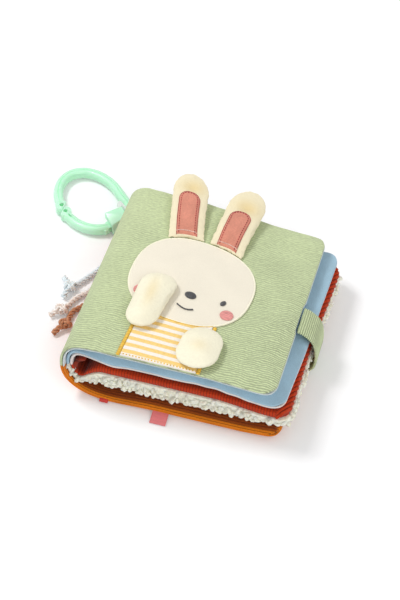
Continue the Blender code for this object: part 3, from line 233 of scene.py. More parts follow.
def head_edge(x, side):
    """The y of the head's outline at a given x, on its upper (1) or lower (-1) side."""
    inside = np.zeros_like(x, dtype=float)
    outside = inside + sum(HEAD_HALF)
    for _ in range(40):
        middle = (inside + outside) / 2
        within = head_share(x, HEAD_CENTRE[1] + side * middle) < 1
        inside, outside = np.where(within, middle, inside), np.where(within, outside, middle)
    return HEAD_CENTRE[1] + side * inside


def squared(x, y, power):
    """Moves points of the unit disc so that its outline gets the given power."""
    far = np.maximum(np.hypot(x, y), 1e-9)
    outline = np.abs(x / far) ** power + np.abs(y / far) ** power
    outline = np.maximum(outline, 0.1) ** (-1 / power)
    return x * outline, y * outline


def rim_distance(x, y, half_x, half_y, radius):
    """How far inside the outline of a rounded rectangle a place lies."""
    over_x = np.abs(x) - (half_x - radius)
    over_y = np.abs(y) - (half_y - radius)
    corner = np.hypot(np.maximum(over_x, 0.0), np.maximum(over_y, 0.0))
    return radius - corner - np.minimum(np.maximum(over_x, over_y), 0.0)


# Meshes

def object_from(name, verts, faces, edges=()):
    """A linked mesh object from points and faces."""
    mesh = bpy.data.meshes.new(name)
    mesh.from_pydata([tuple(v) for v in verts], list(edges), [tuple(f) for f in faces])
    mesh.validate()
    item = bpy.data.objects.new(name, mesh)
    bpy.context.scene.collection.objects.link(item)
    return item


def point_attribute(item, name, values):
    """Stores one number for each vertex of a piece."""
    attribute = item.data.attributes.new(name, "FLOAT", "POINT")
    attribute.data.foreach_set("value", np.asarray(values, np.float32))


def face_outwards(item):
    """Makes a closed mesh's faces point outwards."""
    bm = bmesh.new()
    bm.from_mesh(item.data)
    bmesh.ops.recalc_face_normals(bm, faces=bm.faces)
    if bm.calc_volume(signed=True) < 0:
        bmesh.ops.reverse_faces(bm, faces=bm.faces)
    bm.to_mesh(item.data)
    bm.free()


def closed_sheet(name, columns, rows, place, bulge=0.0, crowded=True, angle=60):
    """A closed layer of cloth on a grid, with two faces and a rounded rim.

    place gives the x, y and z of the grid's points for a face, 0 or 1, and may give the
    distances along and across the cloth as well. bulge is how far the rim is rounded out.
    """
    us = np.linspace(-1, 1, columns + 1)
    vs = np.linspace(-1, 1, rows + 1)
    if crowded:
        us, vs = crowd(us), crowd(vs)
    grid_u, grid_v = np.meshgrid(us, vs, indexing="ij")
    made = [place(grid_u, grid_v, face) for face in (0, 1)]
    layers = [np.stack(m[:3], axis=-1).reshape(-1, 3) for m in made]
    count = (columns + 1) * (rows + 1)

    def index(i, j):
        return i * (rows + 1) + j

    around = ([(i, 0) for i in range(columns)] + [(columns, j) for j in range(rows)]
              + [(i, rows) for i in range(columns, 0, -1)]
              + [(0, j) for j in range(rows, 0, -1)])
    rim = np.array([index(i, j) for i, j in around])
    within = np.array([index(min(max(i, 1), columns - 1), min(max(j, 1), rows - 1))
                       for i, j in around])
    outward = sum(layer[rim] - layer[within] for layer in layers)
    outward /= np.maximum(np.linalg.norm(outward, axis=1, keepdims=True), 1e-9)
    rings = 3 if bulge else 0
    extra = []
    for step in range(1, rings + 1):
        share = step / (rings + 1)
        extra.append(layers[0][rim] * (1 - share) + layers[1][rim] * share
                     + outward * bulge * math.sin(math.pi * share))
    verts = np.concatenate([*layers, *extra])
    i, j = np.meshgrid(np.arange(columns), np.arange(rows), indexing="ij")
    a = (i * (rows + 1) + j).ravel()
    quads = np.stack([a, a + rows + 1, a + rows + 2, a + 1], axis=1)
    sides = []
    loops = [rim, *(2 * count + k * len(rim) + np.arange(len(rim)) for k in range(rings)),
             rim + count]
    for low, high in zip(loops, loops[1:]):
        sides.append(np.stack([low, high, np.roll(high, -1), np.roll(low, -1)], axis=1))
    faces = np.concatenate([quads, quads[:, ::-1] + count, *sides])
    item = object_from(name, verts, faces)
    face_outwards(item)
    if len(made[0]) > 3:
        for number, label in enumerate(("along", "across")):
            plain = made[0][3 + number].ravel()
            values = np.concatenate([plain, plain, *([plain[rim]] * rings)])
            point_attribute(item, label, values)
    item.data.shade_smooth()
    item.data.set_sharp_from_angle(angle=math.radians(angle))
    return item


def folded_sheet(name, columns, rows, spec, outer, inner, margin=0.0, inner_droop=None,
                 relief=None, bulge=0.0):
    """One layer of a cover or leaf, from its fold at the spine to its fore edge."""
    reach, rise, fold_x = spec["reach"], spec["rise"], spec["fold_x"]
    half_y = spec["half_y"] - margin
    fold_length = math.hypot(reach, rise)
    total = fold_length + spec["fore_x"] - margin - fold_x - reach
    half_total = total / 2

    def place(u, v, face):
        along = (u + 1) / 2 * total
        across = v * half_y
        rounded, bent = round_corner(along - half_total, across, half_total, half_y,
                                     spec["corner"] - margin)
        ahead = along > half_total
        along = np.where(ahead, rounded + half_total, along)
        across = np.where(ahead, bent, across)
        rim = np.minimum(total - along, half_y - np.abs(across)) + margin
        full = plump(rim, spec["roll_width"])
        padded = ease((along - fold_length * 0.55) / fold_length)
        depth = inner(full, padded) if face else outer(full, padded)
        angle = np.pi / 2 * np.clip(along / fold_length, 0.0, 1.0)
        folded = along < fold_length
        bent_x = fold_x + reach - (reach - depth) * np.abs(np.cos(angle)) ** SPINE_FULLNESS
        x = np.where(folded, bent_x, fold_x + reach + along - fold_length)
        height = np.where(folded, np.maximum((rise - depth) * np.sin(angle) ** SPINE_FULLNESS,
                                             GAP / 2), rise - depth)
        droop = inner_droop(x) if face and inner_droop else spec["droop"](x)
        z = (HINGE_HEIGHT + spec["side"] * height + droop) * settled(x, across)
        if relief is not None:
            z = z + relief(x, across, rim, face) * ease(along / fold_length - 0.35)
        return x, across, z, along, across

    return closed_sheet(name, columns, rows, place, bulge)


def swept(name, path, section, closed=False, up=(0, 0, 1)):
    """A bar whose section, listed as (across, up) pairs, follows a path."""
    path = np.asarray(path, float)
    ahead = np.roll(path, -1, axis=0) - np.roll(path, 1, axis=0)
    if not closed:
        ahead[0], ahead[-1] = path[1] - path[0], path[-1] - path[-2]
    ahead /= np.linalg.norm(ahead, axis=1, keepdims=True)
    across = np.cross(ahead, np.asarray(up, float))
    across /= np.linalg.norm(across, axis=1, keepdims=True)
    over = np.cross(across, ahead)
    section = np.asarray(section, float)
    verts = (path[:, None, :] + across[:, None, :] * section[None, :, :1]
             + over[:, None, :] * section[None, :, 1:]).reshape(-1, 3)
    n, m = len(path), len(section)
    faces = []
    for i in range(n if closed else n - 1):
        for j in range(m):
            here, there = i * m, (i + 1) % n * m
            faces.append((here + j, here + (j + 1) % m, there + (j + 1) % m, there + j))
    if not closed:
        faces.append(tuple(range(m)))
        faces.append(tuple((n - 1) * m + j for j in reversed(range(m))))
    item = object_from(name, verts, faces)
    face_outwards(item)
    item.data.shade_smooth()
    return item


def smooth_route(points, spacing):
    """Evenly spaced points along a smooth curve through the given points."""
    knots = [Vector(point) for point in points]
    ends = [2 * knots[0] - knots[1], *knots, 2 * knots[-1] - knots[-2]]
    fine = []
    for before, start, stop, after in zip(ends, ends[1:], ends[2:], ends[3:]):
        for step in range(20):
            t = step / 20
            fine.append(0.5 * (2 * start + (stop - before) * t
                               + (2 * before - 5 * start + 4 * stop - after) * t ** 2
                               + (3 * start - before - 3 * stop + after) * t ** 3))
    fine.append(knots[-1])
    fine = np.array([tuple(p) for p in fine])
    lengths = np.concatenate([[0.0], np.cumsum(np.linalg.norm(np.diff(fine, axis=0),
                                                              axis=1))])
    steps = np.linspace(0, lengths[-1], max(2, round(lengths[-1] / spacing)) + 1)
    return np.stack([np.interp(steps, lengths, fine[:, k]) for k in range(3)], axis=1)


def joined(item, *others):
    """Adds the meshes of other objects to an object and removes them."""
    bm = bmesh.new()
    for part in (item, *others):
        bm.from_mesh(part.data)
    bm.to_mesh(item.data)
    bm.free()
    for part in others:
        bpy.data.objects.remove(part)
    return item


def height_over(item):
    """A function that gives the height of a piece's upper face over places in plan."""
    tree = BVHTree.FromPolygons([v.co for v in item.data.vertices],
                                [tuple(p.vertices) for p in item.data.polygons])

    def height(x, y, otherwise):
        flat = np.full(x.size, np.nan)
        for number, (px, py) in enumerate(zip(x.ravel(), y.ravel())):
            hit = tree.ray_cast(Vector((px, py, 1.0)), Vector((0, 0, -1)))[0]
            if hit is not None:
                flat[number] = hit.z
        flat = flat.reshape(x.shape)
        return np.where(np.isnan(flat), otherwise, flat)

    return height


# Geometry node trees

def new_tree(name, sockets):
    """A geometry node tree with named inputs; gives the tree, its input and its output."""
    tree = bpy.data.node_groups.new(name, "GeometryNodeTree")
    tree.interface.new_socket("Geometry", in_out="INPUT", socket_type="NodeSocketGeometry")
    for label, kind, default in (*sockets, ("Material", "NodeSocketMaterial", None)):
        socket = tree.interface.new_socket(label, in_out="INPUT", socket_type=kind)
        if default is not None:
            socket.default_value = default
    tree.interface.new_socket("Geometry", in_out="OUTPUT", socket_type="NodeSocketGeometry")
    return tree, tree.nodes.new("NodeGroupInput"), tree.nodes.new("NodeGroupOutput")


def add(tree, kind, settings=None, **inputs):
    """Adds a node; inputs are sockets to link or values, by name or as i0, i1 and so on."""
    made = tree.nodes.new(kind)
    for key, value in (settings or {}).items():
        setattr(made, key, value)
    for key, value in inputs.items():
        numbered = key[0] == "i" and key[1:].isdigit()
        socket = made.inputs[int(key[1:]) if numbered else key.replace("_", " ")]
        if isinstance(value, bpy.types.NodeSocket):
            tree.links.new(value, socket)
        else:
            socket.default_value = value
    return made


def sums(tree, operation, *values):
    """A Math node's output."""
    named = {f"i{n}": value for n, value in enumerate(values)}
    return add(tree, "ShaderNodeMath", {"operation": operation}, **named).outputs[0]


def close_tree(tree, source, group_in, group_out):
    """Ends a tree with real geometry in the given material."""
    real = add(tree, "GeometryNodeRealizeInstances", Geometry=source)
    dressed = add(tree, "GeometryNodeSetMaterial", Geometry=real.outputs[0],
                  Material=group_in.outputs["Material"])
    tree.links.new(dressed.outputs[0], group_out.inputs[0])
    return tree


def stitch_tree(across):
    """Threads laid along a seam line, or across it as satin stitches."""
    tree, given, result = new_tree("satin stitches" if across else "seam stitches", (
        ("Spacing", "NodeSocketFloat", 0.002),
        ("Length", "NodeSocketFloat", 0.0015),
        ("Thickness", "NodeSocketFloat", 0.0004)))
    line = add(tree, "GeometryNodeMeshToCurve", Mesh=given.outputs["Geometry"])
    spaced = add(tree, "GeometryNodeResampleCurve", {"mode": "LENGTH"},
                 Curve=line.outputs[0], Length=given.outputs["Spacing"])
    heading = add(tree, "GeometryNodeInputTangent").outputs[0]
    if across:
        heading = add(tree, "ShaderNodeVectorMath", {"operation": "CROSS_PRODUCT"},
                      i0=heading, i1=(0, 0, 1)).outputs[0]
    turn = add(tree, "FunctionNodeAlignRotationToVector", {"axis": "X"}, Vector=heading)
    thread = add(tree, "GeometryNodeMeshUVSphere", Segments=8, Rings=5, Radius=0.5)
    size = add(tree, "ShaderNodeCombineXYZ", X=given.outputs["Length"],
               Y=given.outputs["Thickness"], Z=given.outputs["Thickness"])
    laid = add(tree, "GeometryNodeInstanceOnPoints", Points=spaced.outputs[0],
               Instance=thread.outputs[0], Rotation=turn.outputs[0], Scale=size.outputs[0])
    smooth = add(tree, "GeometryNodeSetShadeSmooth", Geometry=laid.outputs[0])
    return close_tree(tree, smooth.outputs[0], given, result)


def wale_tree():
    """Raises the wales of corduroy, or the ribs of a ribbed cloth, out of a surface."""
    tree, given, result = new_tree("wales", (("Pitch", "NodeSocketFloat", 0.0034),
                                             ("Height", "NodeSocketFloat", 0.0006)))
    phase = add(tree, "GeometryNodeInputNamedAttribute", {"data_type": "FLOAT"}, Name="wale")
    share = add(tree, "GeometryNodeInputNamedAttribute", {"data_type": "FLOAT"},
                Name="wale_share")
    turns = sums(tree, "DIVIDE", phase.outputs[0], given.outputs["Pitch"])
    wave = sums(tree, "ABSOLUTE", sums(tree, "SINE", sums(tree, "MULTIPLY", turns, math.pi)))
    crown = sums(tree, "POWER", wave, 0.7)
    rise = sums(tree, "MULTIPLY", sums(tree, "MULTIPLY", crown, share.outputs[0]),
                given.outputs["Height"])
    offset = add(tree, "ShaderNodeVectorMath", {"operation": "SCALE"},
                 i0=add(tree, "GeometryNodeInputNormal").outputs[0], Scale=rise)
    moved = add(tree, "GeometryNodeSetPosition", Geometry=given.outputs["Geometry"],
                Offset=offset.outputs[0])
    return close_tree(tree, moved.outputs[0], given, result)


def curl_tree():
    """Small curls of pile, scattered over the parts of a surface that show."""
    tree, given, result = new_tree("pile curls", (("Spacing", "NodeSocketFloat", 0.0024),
                                                  ("Curl", "NodeSocketFloat", 0.0012),
                                                  ("Yarn", "NodeSocketFloat", 0.0006),
                                                  ("Seed", "NodeSocketInt", 4)))
    share = add(tree, "GeometryNodeInputNamedAttribute", {"data_type": "FLOAT"},
                Name="curl_share")
    spots = add(tree, "GeometryNodeDistributePointsOnFaces",
                {"distribute_method": "POISSON"}, Mesh=given.outputs["Geometry"],
                Distance_Min=given.outputs["Spacing"], Density_Max=400000.0,
                Density_Factor=share.outputs[0], Seed=given.outputs["Seed"])
    ring = add(tree, "GeometryNodeCurvePrimitiveCircle", {"mode": "RADIUS"}, Resolution=8,
               Radius=given.outputs["Curl"])
    yarn = add(tree, "GeometryNodeCurvePrimitiveCircle", {"mode": "RADIUS"}, Resolution=5,
               Radius=given.outputs["Yarn"])
    curl = add(tree, "GeometryNodeCurveToMesh", Curve=ring.outputs[0],
               Profile_Curve=yarn.outputs[0])
    turn = add(tree, "FunctionNodeRandomValue", {"data_type": "FLOAT_VECTOR"},
               i0=(0.0, 0.0, 0.0), i1=(6.28, 6.28, 6.28), Seed=given.outputs["Seed"])
    size = add(tree, "FunctionNodeRandomValue", {"data_type": "FLOAT"}, i2=0.65, i3=1.25,
               Seed=7)
    laid = add(tree, "GeometryNodeInstanceOnPoints", Points=spots.outputs[0],
               Instance=curl.outputs[0], Rotation=turn.outputs[0], Scale=size.outputs[1])
    smooth = add(tree, "GeometryNodeSetShadeSmooth", Geometry=laid.outputs[0])
    both = add(tree, "GeometryNodeJoinGeometry")
    tree.links.new(given.outputs["Geometry"], both.inputs[0])
    tree.links.new(smooth.outputs[0], both.inputs[0])
    return close_tree(tree, both.outputs[0], given, result)


def laid_cord_tree():
    """Strands laid round one another along a path."""
    tree, given, result = new_tree("laid cord", (("Diameter", "NodeSocketFloat", 0.0046),
                                                 ("Lay", "NodeSocketFloat", 0.011),
                                                 ("Strands", "NodeSocketInt", 3)))
    line = add(tree, "GeometryNodeMeshToCurve", Mesh=given.outputs["Geometry"])
    length = add(tree, "GeometryNodeSplineParameter").outputs["Length"]
    tilt = sums(tree, "MULTIPLY", sums(tree, "DIVIDE", length, given.outputs["Lay"]),
                2 * math.pi)
    tilted = add(tree, "GeometryNodeSetCurveTilt", Curve=line.outputs[0], Tilt=tilt)
    out = sums(tree, "MULTIPLY", given.outputs["Diameter"], 0.268)
    thick = sums(tree, "MULTIPLY", given.outputs["Diameter"], 0.232)
    hearts = add(tree, "GeometryNodeMeshCircle", Vertices=given.outputs["Strands"],
                 Radius=out)
    strand = add(tree, "GeometryNodeCurvePrimitiveCircle", {"mode": "RADIUS"},
                 Resolution=9, Radius=thick)
    bundle = add(tree, "GeometryNodeInstanceOnPoints", Points=hearts.outputs[0],
                 Instance=strand.outputs[0])
    profile = add(tree, "GeometryNodeRealizeInstances", Geometry=bundle.outputs[0])
    body = add(tree, "GeometryNodeCurveToMesh", Curve=tilted.outputs[0],
               Profile_Curve=profile.outputs[0], Fill_Caps=True)
    smooth = add(tree, "GeometryNodeSetShadeSmooth", Geometry=body.outputs[0])
    return close_tree(tree, smooth.outputs[0], given, result)


TREES = {}


def tree_named(name):
    """One of the book's node trees, built when it is first asked for."""
    makers = {"seam": lambda: stitch_tree(False), "satin": lambda: stitch_tree(True),
              "wales": wale_tree, "curls": curl_tree, "cord": laid_cord_tree}
    if name not in TREES:
        TREES[name] = makers[name]()
    return TREES[name]


def grown(item, tree_name, **values):
    """Runs a node tree on a piece and keeps the result as its plain mesh."""
    tree = tree_named(tree_name)
    modifier = item.modifiers.new(tree_name, "NODES")
    modifier.node_group = tree
    for socket in tree.interface.items_tree:
        if socket.item_type == "SOCKET" and socket.in_out == "INPUT":
            if socket.name in values:
                modifier[socket.identifier] = values[socket.name]
    depsgraph = bpy.context.evaluated_depsgraph_get()
    depsgraph.update()
    mesh = bpy.data.meshes.new_from_object(item.evaluated_get(depsgraph),
                                           preserve_all_data_layers=True,
                                           depsgraph=depsgraph)
    item.modifiers.remove(modifier)
    item.data = mesh
    return item


def line_object(name, *routes, closed=False):
    """A mesh of plain edges along one or more routes."""
    verts, edges = [], []
    for route in routes:
        start = len(verts)
        verts.extend(tuple(float(c) for c in p) for p in route)
        edges.extend((start + k, start + k + 1) for k in range(len(route) - 1))
        if closed:
            edges.append((len(verts) - 1, start))
    return object_from(name, verts, [], edges)


def stitches(name, material, *routes, tree="seam", closed=False, spacing=0.0022,
             length=0.0017, thickness=0.0005):
    """A row of stitches along routes."""
    item = line_object(name, *routes, closed=closed)
    return grown(item, tree, Spacing=spacing, Length=length, Thickness=thickness,
                 Material=material)


def swollen(item, voxel, pressure, cap):
    """Fills a closed piece like stuffed plush with a short cloth simulation."""
    base = item.copy()
    base.data = item.data.copy()
    bpy.context.scene.collection.objects.link(base)
    remesh = base.modifiers.new("even faces", "REMESH")
    remesh.mode = "VOXEL"
    remesh.voxel_size = voxel
    depsgraph = bpy.context.evaluated_depsgraph_get()
    depsgraph.update()
    even = bpy.data.meshes.new_from_object(base.evaluated_get(depsgraph))
    base.modifiers.remove(remesh)
    base.data = even
    start = np.array([v.co for v in even.vertices])
    scene = bpy.context.scene
    cloth = base.modifiers.new("filling", "CLOTH")
    settings = cloth.settings
    settings.use_pressure = True
    settings.uniform_pressure_force = pressure
    settings.effector_weights.gravity = 0.0
    settings.quality = 6
    settings.tension_stiffness = 12
    settings.compression_stiffness = 12
    settings.bending_stiffness = 0.3
    cloth.point_cache.frame_start = 1
    cloth.point_cache.frame_end = 20
    for number in range(1, 21):
        scene.frame_set(number)
    depsgraph = bpy.context.evaluated_depsgraph_get()
    done = bpy.data.meshes.new_from_object(base.evaluated_get(depsgraph))
    end = np.array([v.co for v in done.vertices])
    base.modifiers.remove(cloth)
    scene.frame_set(1)
    move = end - start
    far = np.linalg.norm(move, axis=1, keepdims=True)
    start = start + move * np.minimum(1.0, cap / np.maximum(far, 1e-9))
    even.vertices.foreach_set("co", start.astype(np.float32).ravel())
    even.update()
    finer = base.modifiers.new("smooth", "SUBSURF")
    finer.levels = finer.render_levels = 1
    depsgraph = bpy.context.evaluated_depsgraph_get()
    depsgraph.update()
    item.data = bpy.data.meshes.new_from_object(base.evaluated_get(depsgraph))
    bpy.data.objects.remove(base)
    item.data.shade_smooth()
    return item


# Materials

def linear(colour):
    """A screen colour as the shader's linear one."""
    return tuple(c / 12.92 if c <= 0.04045 else ((c + 0.055) / 1.055) ** 2.4
                 for c in colour[:3]) + (1.0,)


def shaded(colour, share):
    """A colour made darker (below 1) or lighter (above 1)."""
    return tuple(min(1.0, c * share) for c in colour[:3])


class Finish:
    """A material under construction: its node tree, its shader and its coordinates."""

    def __init__(self, name, roughness=0.9, sheen=0.0, coat=0.0):
        self.material = bpy.data.materials.new(name)
        self.material.use_nodes = True
        self.tree = self.material.node_tree
        self.shader = self.tree.nodes["Principled BSDF"]
        self.shader.inputs["Roughness"].default_value = roughness
        self.shader.inputs["Specular IOR Level"].default_value = (
            0.2 if roughness > 0.6 else 0.5)
        self.shader.inputs["Sheen Weight"].default_value = sheen
        self.shader.inputs["Sheen Roughness"].default_value = 0.5
        self.shader.inputs["Coat Weight"].default_value = coat
        self.place = add(self.tree, "ShaderNodeTexCoord").outputs["Object"]

    def named(self, attribute):
        """A vertex number of the piece."""
        node = add(self.tree, "ShaderNodeAttribute", {"attribute_name": attribute})
        return node.outputs["Fac"]

    def vector(self, x, y, z=0.0):
        """A coordinate from three numbers."""
        return add(self.tree, "ShaderNodeCombineXYZ", X=x, Y=y, Z=z).outputs[0]

    def split(self, vector=None):
        """The three numbers of a coordinate."""
        node = add(self.tree, "ShaderNodeSeparateXYZ", Vector=vector or self.place)
        return node.outputs[0], node.outputs[1], node.outputs[2]

    def stretched(self, scale, vector=None):
        """The coordinates times a scale, in features to the metre."""
        return add(self.tree, "ShaderNodeMapping", Vector=vector or self.place,
                   Scale=scale).outputs[0]

    def noise(self, scale, detail=3.0, rough=0.6, distortion=0.0, vector=None):
        """Noise with features of the given number to the metre, alike or on each axis."""
        even = isinstance(scale, (int, float))
        where = (vector or self.place) if even else self.stretched(scale, vector)
        node = add(self.tree, "ShaderNodeTexNoise", Vector=where,
                   Scale=float(scale) if even else 1.0, Detail=detail, Roughness=rough,
                   Distortion=distortion)
        return node.outputs[0]

    def graded(self, value, low, high):
        """A value spread from 0 at low to 1 at high."""
        return add(self.tree, "ShaderNodeMapRange", {"clamp": True}, Value=value,
                   From_Min=low, From_Max=high).outputs[0]

    def mixed(self, share, first, second, blend="MIX"):
        """Two colours mixed."""
        node = self.tree.nodes.new("ShaderNodeMix")
        node.data_type = "RGBA"
        node.blend_type = blend
        for number, value in ((0, share), (6, first), (7, second)):
            if isinstance(value, bpy.types.NodeSocket):
                self.tree.links.new(value, node.inputs[number])
            else:
                node.inputs[number].default_value = value
        return node.outputs[2]

    def blended(self, *parts):
        """A weighted sum of heights, from pairs of value and weight."""
        total = None
        for value, weight in parts:
            part = sums(self.tree, "MULTIPLY", value, weight)
            total = part if total is None else sums(self.tree, "ADD", total, part)
        return total

    def colour(self, socket):
        """Sets the base colour from a socket."""
        self.tree.links.new(socket, self.shader.inputs["Base Color"])

    def bump(self, height, distance, strength=1.0):
        """Adds relief; distance is the height of a full step in metres."""
        node = add(self.tree, "ShaderNodeBump", Height=height, Strength=strength,
                   Distance=distance)
        self.tree.links.new(node.outputs[0], self.shader.inputs["Normal"])


def crepe_finish(name, colour, strap=False):
    """Fine-ribbed cotton: short wavy ribs along x, crisp towards the near edge.

    On the strap the ribs lie straight across the cloth's own length.
    """
    make = Finish(name, 0.92, 0.12)
    place = make.vector(make.named("across"), make.named("along")) if strap else make.place
    x, y, _ = make.split(place)
    waver = make.noise((34.0, 26.0, 0.0), 2.0, vector=place)
    jitter = make.noise((190.0, 330.0, 0.0), 2.0, 0.6, vector=place)
    phase = make.blended((y, 640.0 if strap else 590.0), (waver, 0.8 if strap else 4.2),
                         (jitter, 0.35 if strap else 1.2))
    wave = sums(make.tree, "SINE", sums(make.tree, "MULTIPLY", phase, 2 * math.pi))
    ribs = make.graded(wave, -0.75, 0.75)
    dashes = make.graded(make.noise((330.0, 1150.0, 0.0), 2.0, 0.6, vector=place), 0.34,
                         0.66)
    fine = make.noise((900.0, 1900.0, 0.0), 2.0, 0.6, vector=place)
    patchy = make.noise((20.0, 24.0, 0.0), 2.0, vector=place)
    if strap:
        crisp = make.graded(patchy, -0.6, 0.6)
    else:
        lie = make.blended((y, -5.5), (x, 3.4), (patchy, 1.5))
        crisp = make.graded(lie, 0.25, 1.45)
    broad = make.noise((24.0, 46.0, 0.0), 3.0, vector=place)
    ribbed = make.blended((ribs, 0.78), (dashes, 0.14), (broad, 0.14))
    grained = make.blended((dashes, 0.36), (fine, 0.24), (ribs, 0.14), (broad, 0.42))
    shade = sums(make.tree, "ADD", sums(make.tree, "MULTIPLY", ribbed, crisp),
                 sums(make.tree, "MULTIPLY", grained,
                      sums(make.tree, "SUBTRACT", 1.0, crisp)))
    tone = make.mixed(make.graded(shade, 0.02, 0.88), linear(shaded(colour, 0.78)),
                      linear(shaded(colour, 1.09)))
    make.colour(tone)
    relief = make.blended((sums(make.tree, "MULTIPLY", ribs, crisp), 0.8), (dashes, 0.25),
                          (broad, 0.8))
    make.bump(relief, 0.0009, 0.6)
    return make.material


def corduroy_finish(name, colour, pitch, dark=0.6, light=1.12, rim=None):
    """Corduroy: grooves between the wales darkened as painted shade, and an uneven short pile
    on the wales.

    rim is the brighter colour mixed in along the rolled rim, as painted light against the
    darker ground inside it.
    """
    make = Finish(name, 0.86, 0.10)
    phase = sums(make.tree, "MULTIPLY", sums(make.tree, "DIVIDE", make.named("wale"), pitch),
                 math.pi)
    crown = sums(make.tree, "ABSOLUTE", sums(make.tree, "SINE", phase))
    pile = make.noise(1000.0, 3.0, 0.7)
    nap = make.noise((60.0, 220.0, 120.0), 3.0)
    ground = linear(colour)
    if rim:
        # Painted light and shade: the brighter colour along the rim, the darker ground inside
        # it.
        ground = make.mixed(make.named("rim_share"), ground, linear(rim))
    # Painted shade: the grooves between the wales are darkened by the dark share.
    groove = make.mixed(make.graded(crown, 0.05, 0.55), (dark, dark, dark, 1.0),
                        (1.0, 1.0, 1.0, 1.0))
    worn = make.mixed(make.graded(nap, 0.35, 0.7), (1.0, 1.0, 1.0, 1.0),
                      (light, light, light, 1.0))
    speck = make.mixed(make.graded(pile, 0.3, 0.75), (0.66, 0.66, 0.66, 1.0),
                       (1.0, 1.0, 1.0, 1.0))
    for share, layer in ((1.0, groove), (1.0, worn), (0.8, speck)):
        ground = make.mixed(share, ground, layer, "MULTIPLY")
    make.colour(ground)
    make.bump(make.blended((pile, 0.6), (nap, 0.5)), 0.0006, 0.7)
    return make.material


def pile_finish(name, colour, grain=1100.0, relief=0.0005, sheen=0.2, patch=30.0,
                dark=0.90, light=1.05, warm=None):
    """Short pile, as on velour and plush: fine grain and patches where the nap leans.

    warm is the deeper colour painted into the pile's hollows and creases as shade, and spread
    evenly as a tint where the attribute has a base.
    """
    make = Finish(name, 0.95, sheen)
    pile = make.noise(grain, 4.0, 0.65)
    coarse = make.noise(grain * 0.34, 3.0, 0.6)
    lean = make.noise(patch, 3.0, 0.55, 0.6)
    grained = make.mixed(make.graded(pile, 0.28, 0.72), linear(shaded(colour, dark)),
                         linear(shaded(colour, light)))
    leaning = make.mixed(make.graded(lean, 0.32, 0.68), linear(shaded(colour, dark)),
                         linear(shaded(colour, light)))
    tone = make.mixed(0.45, grained, leaning)
    # Painted shade in the hollows and creases, mixed in by the vertex attribute.
    if warm:
        tone = make.mixed(make.named("warmth"), tone, linear(warm))
    make.colour(tone)
    make.bump(make.blended((pile, 0.6), (coarse, 0.7), (lean, 0.4)), relief, 0.8)
    return make.material


def weave_finish(name, colour, threads=1300.0, sheen=0.15, dark=0.88, roughness=0.9):
    """Plain woven cloth: crossing threads with slight slubs."""
    make = Finish(name, roughness, sheen)
    x, y, z = make.split()
    height = sums(make.tree, "ADD", y, z)
    warp = sums(make.tree, "SINE", sums(make.tree, "MULTIPLY", x, threads * 2.6))
    weft = sums(make.tree, "SINE", sums(make.tree, "MULTIPLY", height, threads * 2.6))
    cross = sums(make.tree, "MULTIPLY", warp, weft)
    slub = make.noise((60.0, 500.0, 200.0), 3.0)
    tone = make.mixed(make.graded(slub, 0.3, 0.7), linear(shaded(colour, dark)),
                      linear(shaded(colour, 1.04)))
    make.colour(make.mixed(make.graded(cross, -1.0, 1.0),
                           tone, linear(shaded(colour, 0.97))))
    make.bump(make.blended((cross, 0.4), (slub, 0.6)), 0.00035, 0.7)
    return make.material


def thread_finish(name, colour, across=False, roughness=0.5, pitch=2400.0):
    """Shiny embroidery thread in close parallel rows."""
    make = Finish(name, roughness, 0.2)
    scale = (pitch, 160.0, 160.0) if across else (160.0, pitch, 160.0)
    rows = make.noise(scale, 2.0, 0.5)
    tone = make.mixed(make.graded(rows, 0.32, 0.68), linear(shaded(colour, 0.78)),
                      linear(shaded(colour, 1.12)))
    make.colour(tone)
    make.bump(rows, 0.0004, 0.8)
    return make.material


def stripe_finish(name, yellow, white, pitch, start):
    """Striped jersey: soft-edged stripes along x over a fine knit."""
    make = Finish(name, 0.9, 0.25)
    x, y, _ = make.split()
    waver = make.noise((30.0, 30.0, 0.0), 2.0)
    level = sums(make.tree, "ADD", y, sums(make.tree, "MULTIPLY", waver, 0.0011))
    level = sums(make.tree, "ADD", level, sums(make.tree, "MULTIPLY", x, 0.02))
    turn = sums(make.tree, "MULTIPLY", sums(make.tree, "SUBTRACT", level, start),
                2 * math.pi / pitch)
    band = make.graded(sums(make.tree, "SINE", turn), -0.32, 0.18)
    knit = make.noise((500.0, 1500.0, 0.0), 2.0)
    first = make.mixed(make.graded(knit, 0.3, 0.7), linear(shaded(white, 0.95)),
                       linear(white))
    second = make.mixed(make.graded(knit, 0.3, 0.7), linear(shaded(yellow, 0.93)),
                        linear(shaded(yellow, 1.04)))
    make.colour(make.mixed(band, first, second))
    make.bump(make.blended((knit, 0.6), (band, 0.25)), 0.0004, 0.6)
    return make.material


def sherpa_finish(name, colour):
    """Curly pile: bright tufts with a little warm shade between them."""
    make = Finish(name, 1.0)
    tufts = make.noise(300.0, 3.0, 0.6, 0.5)
    make.colour(make.mixed(make.graded(tufts, 0.32, 0.58), linear(shaded(colour, 0.90)),
                           linear(shaded(colour, 1.04))))
    make.shader.inputs["Subsurface Weight"].default_value = 0.5
    make.shader.inputs["Subsurface Radius"].default_value = (0.9, 0.8, 0.65)
    make.shader.inputs["Subsurface Scale"].default_value = 0.004
    make.bump(tufts, 0.0008, 0.7)
    return make.material


def cord_finish(name, colour, dark=0.62):
    """Spun cord: loose fibres, darker where they lie deep."""
    make = Finish(name, 0.85, 0.35)
    fibres = make.noise(1150.0, 4.0, 0.7, 0.8)
    strands = make.noise((260.0, 260.0, 520.0), 3.0)
    tone = make.mixed(make.graded(fibres, 0.33, 0.66), linear(shaded(colour, dark)),
                      linear(shaded(colour, 1.12)))
    make.colour(make.mixed(make.graded(strands, 0.3, 0.7), tone, linear(colour)))
    make.bump(make.blended((fibres, 0.9), (strands, 0.6)), 0.0004, 0.8)
    return make.material


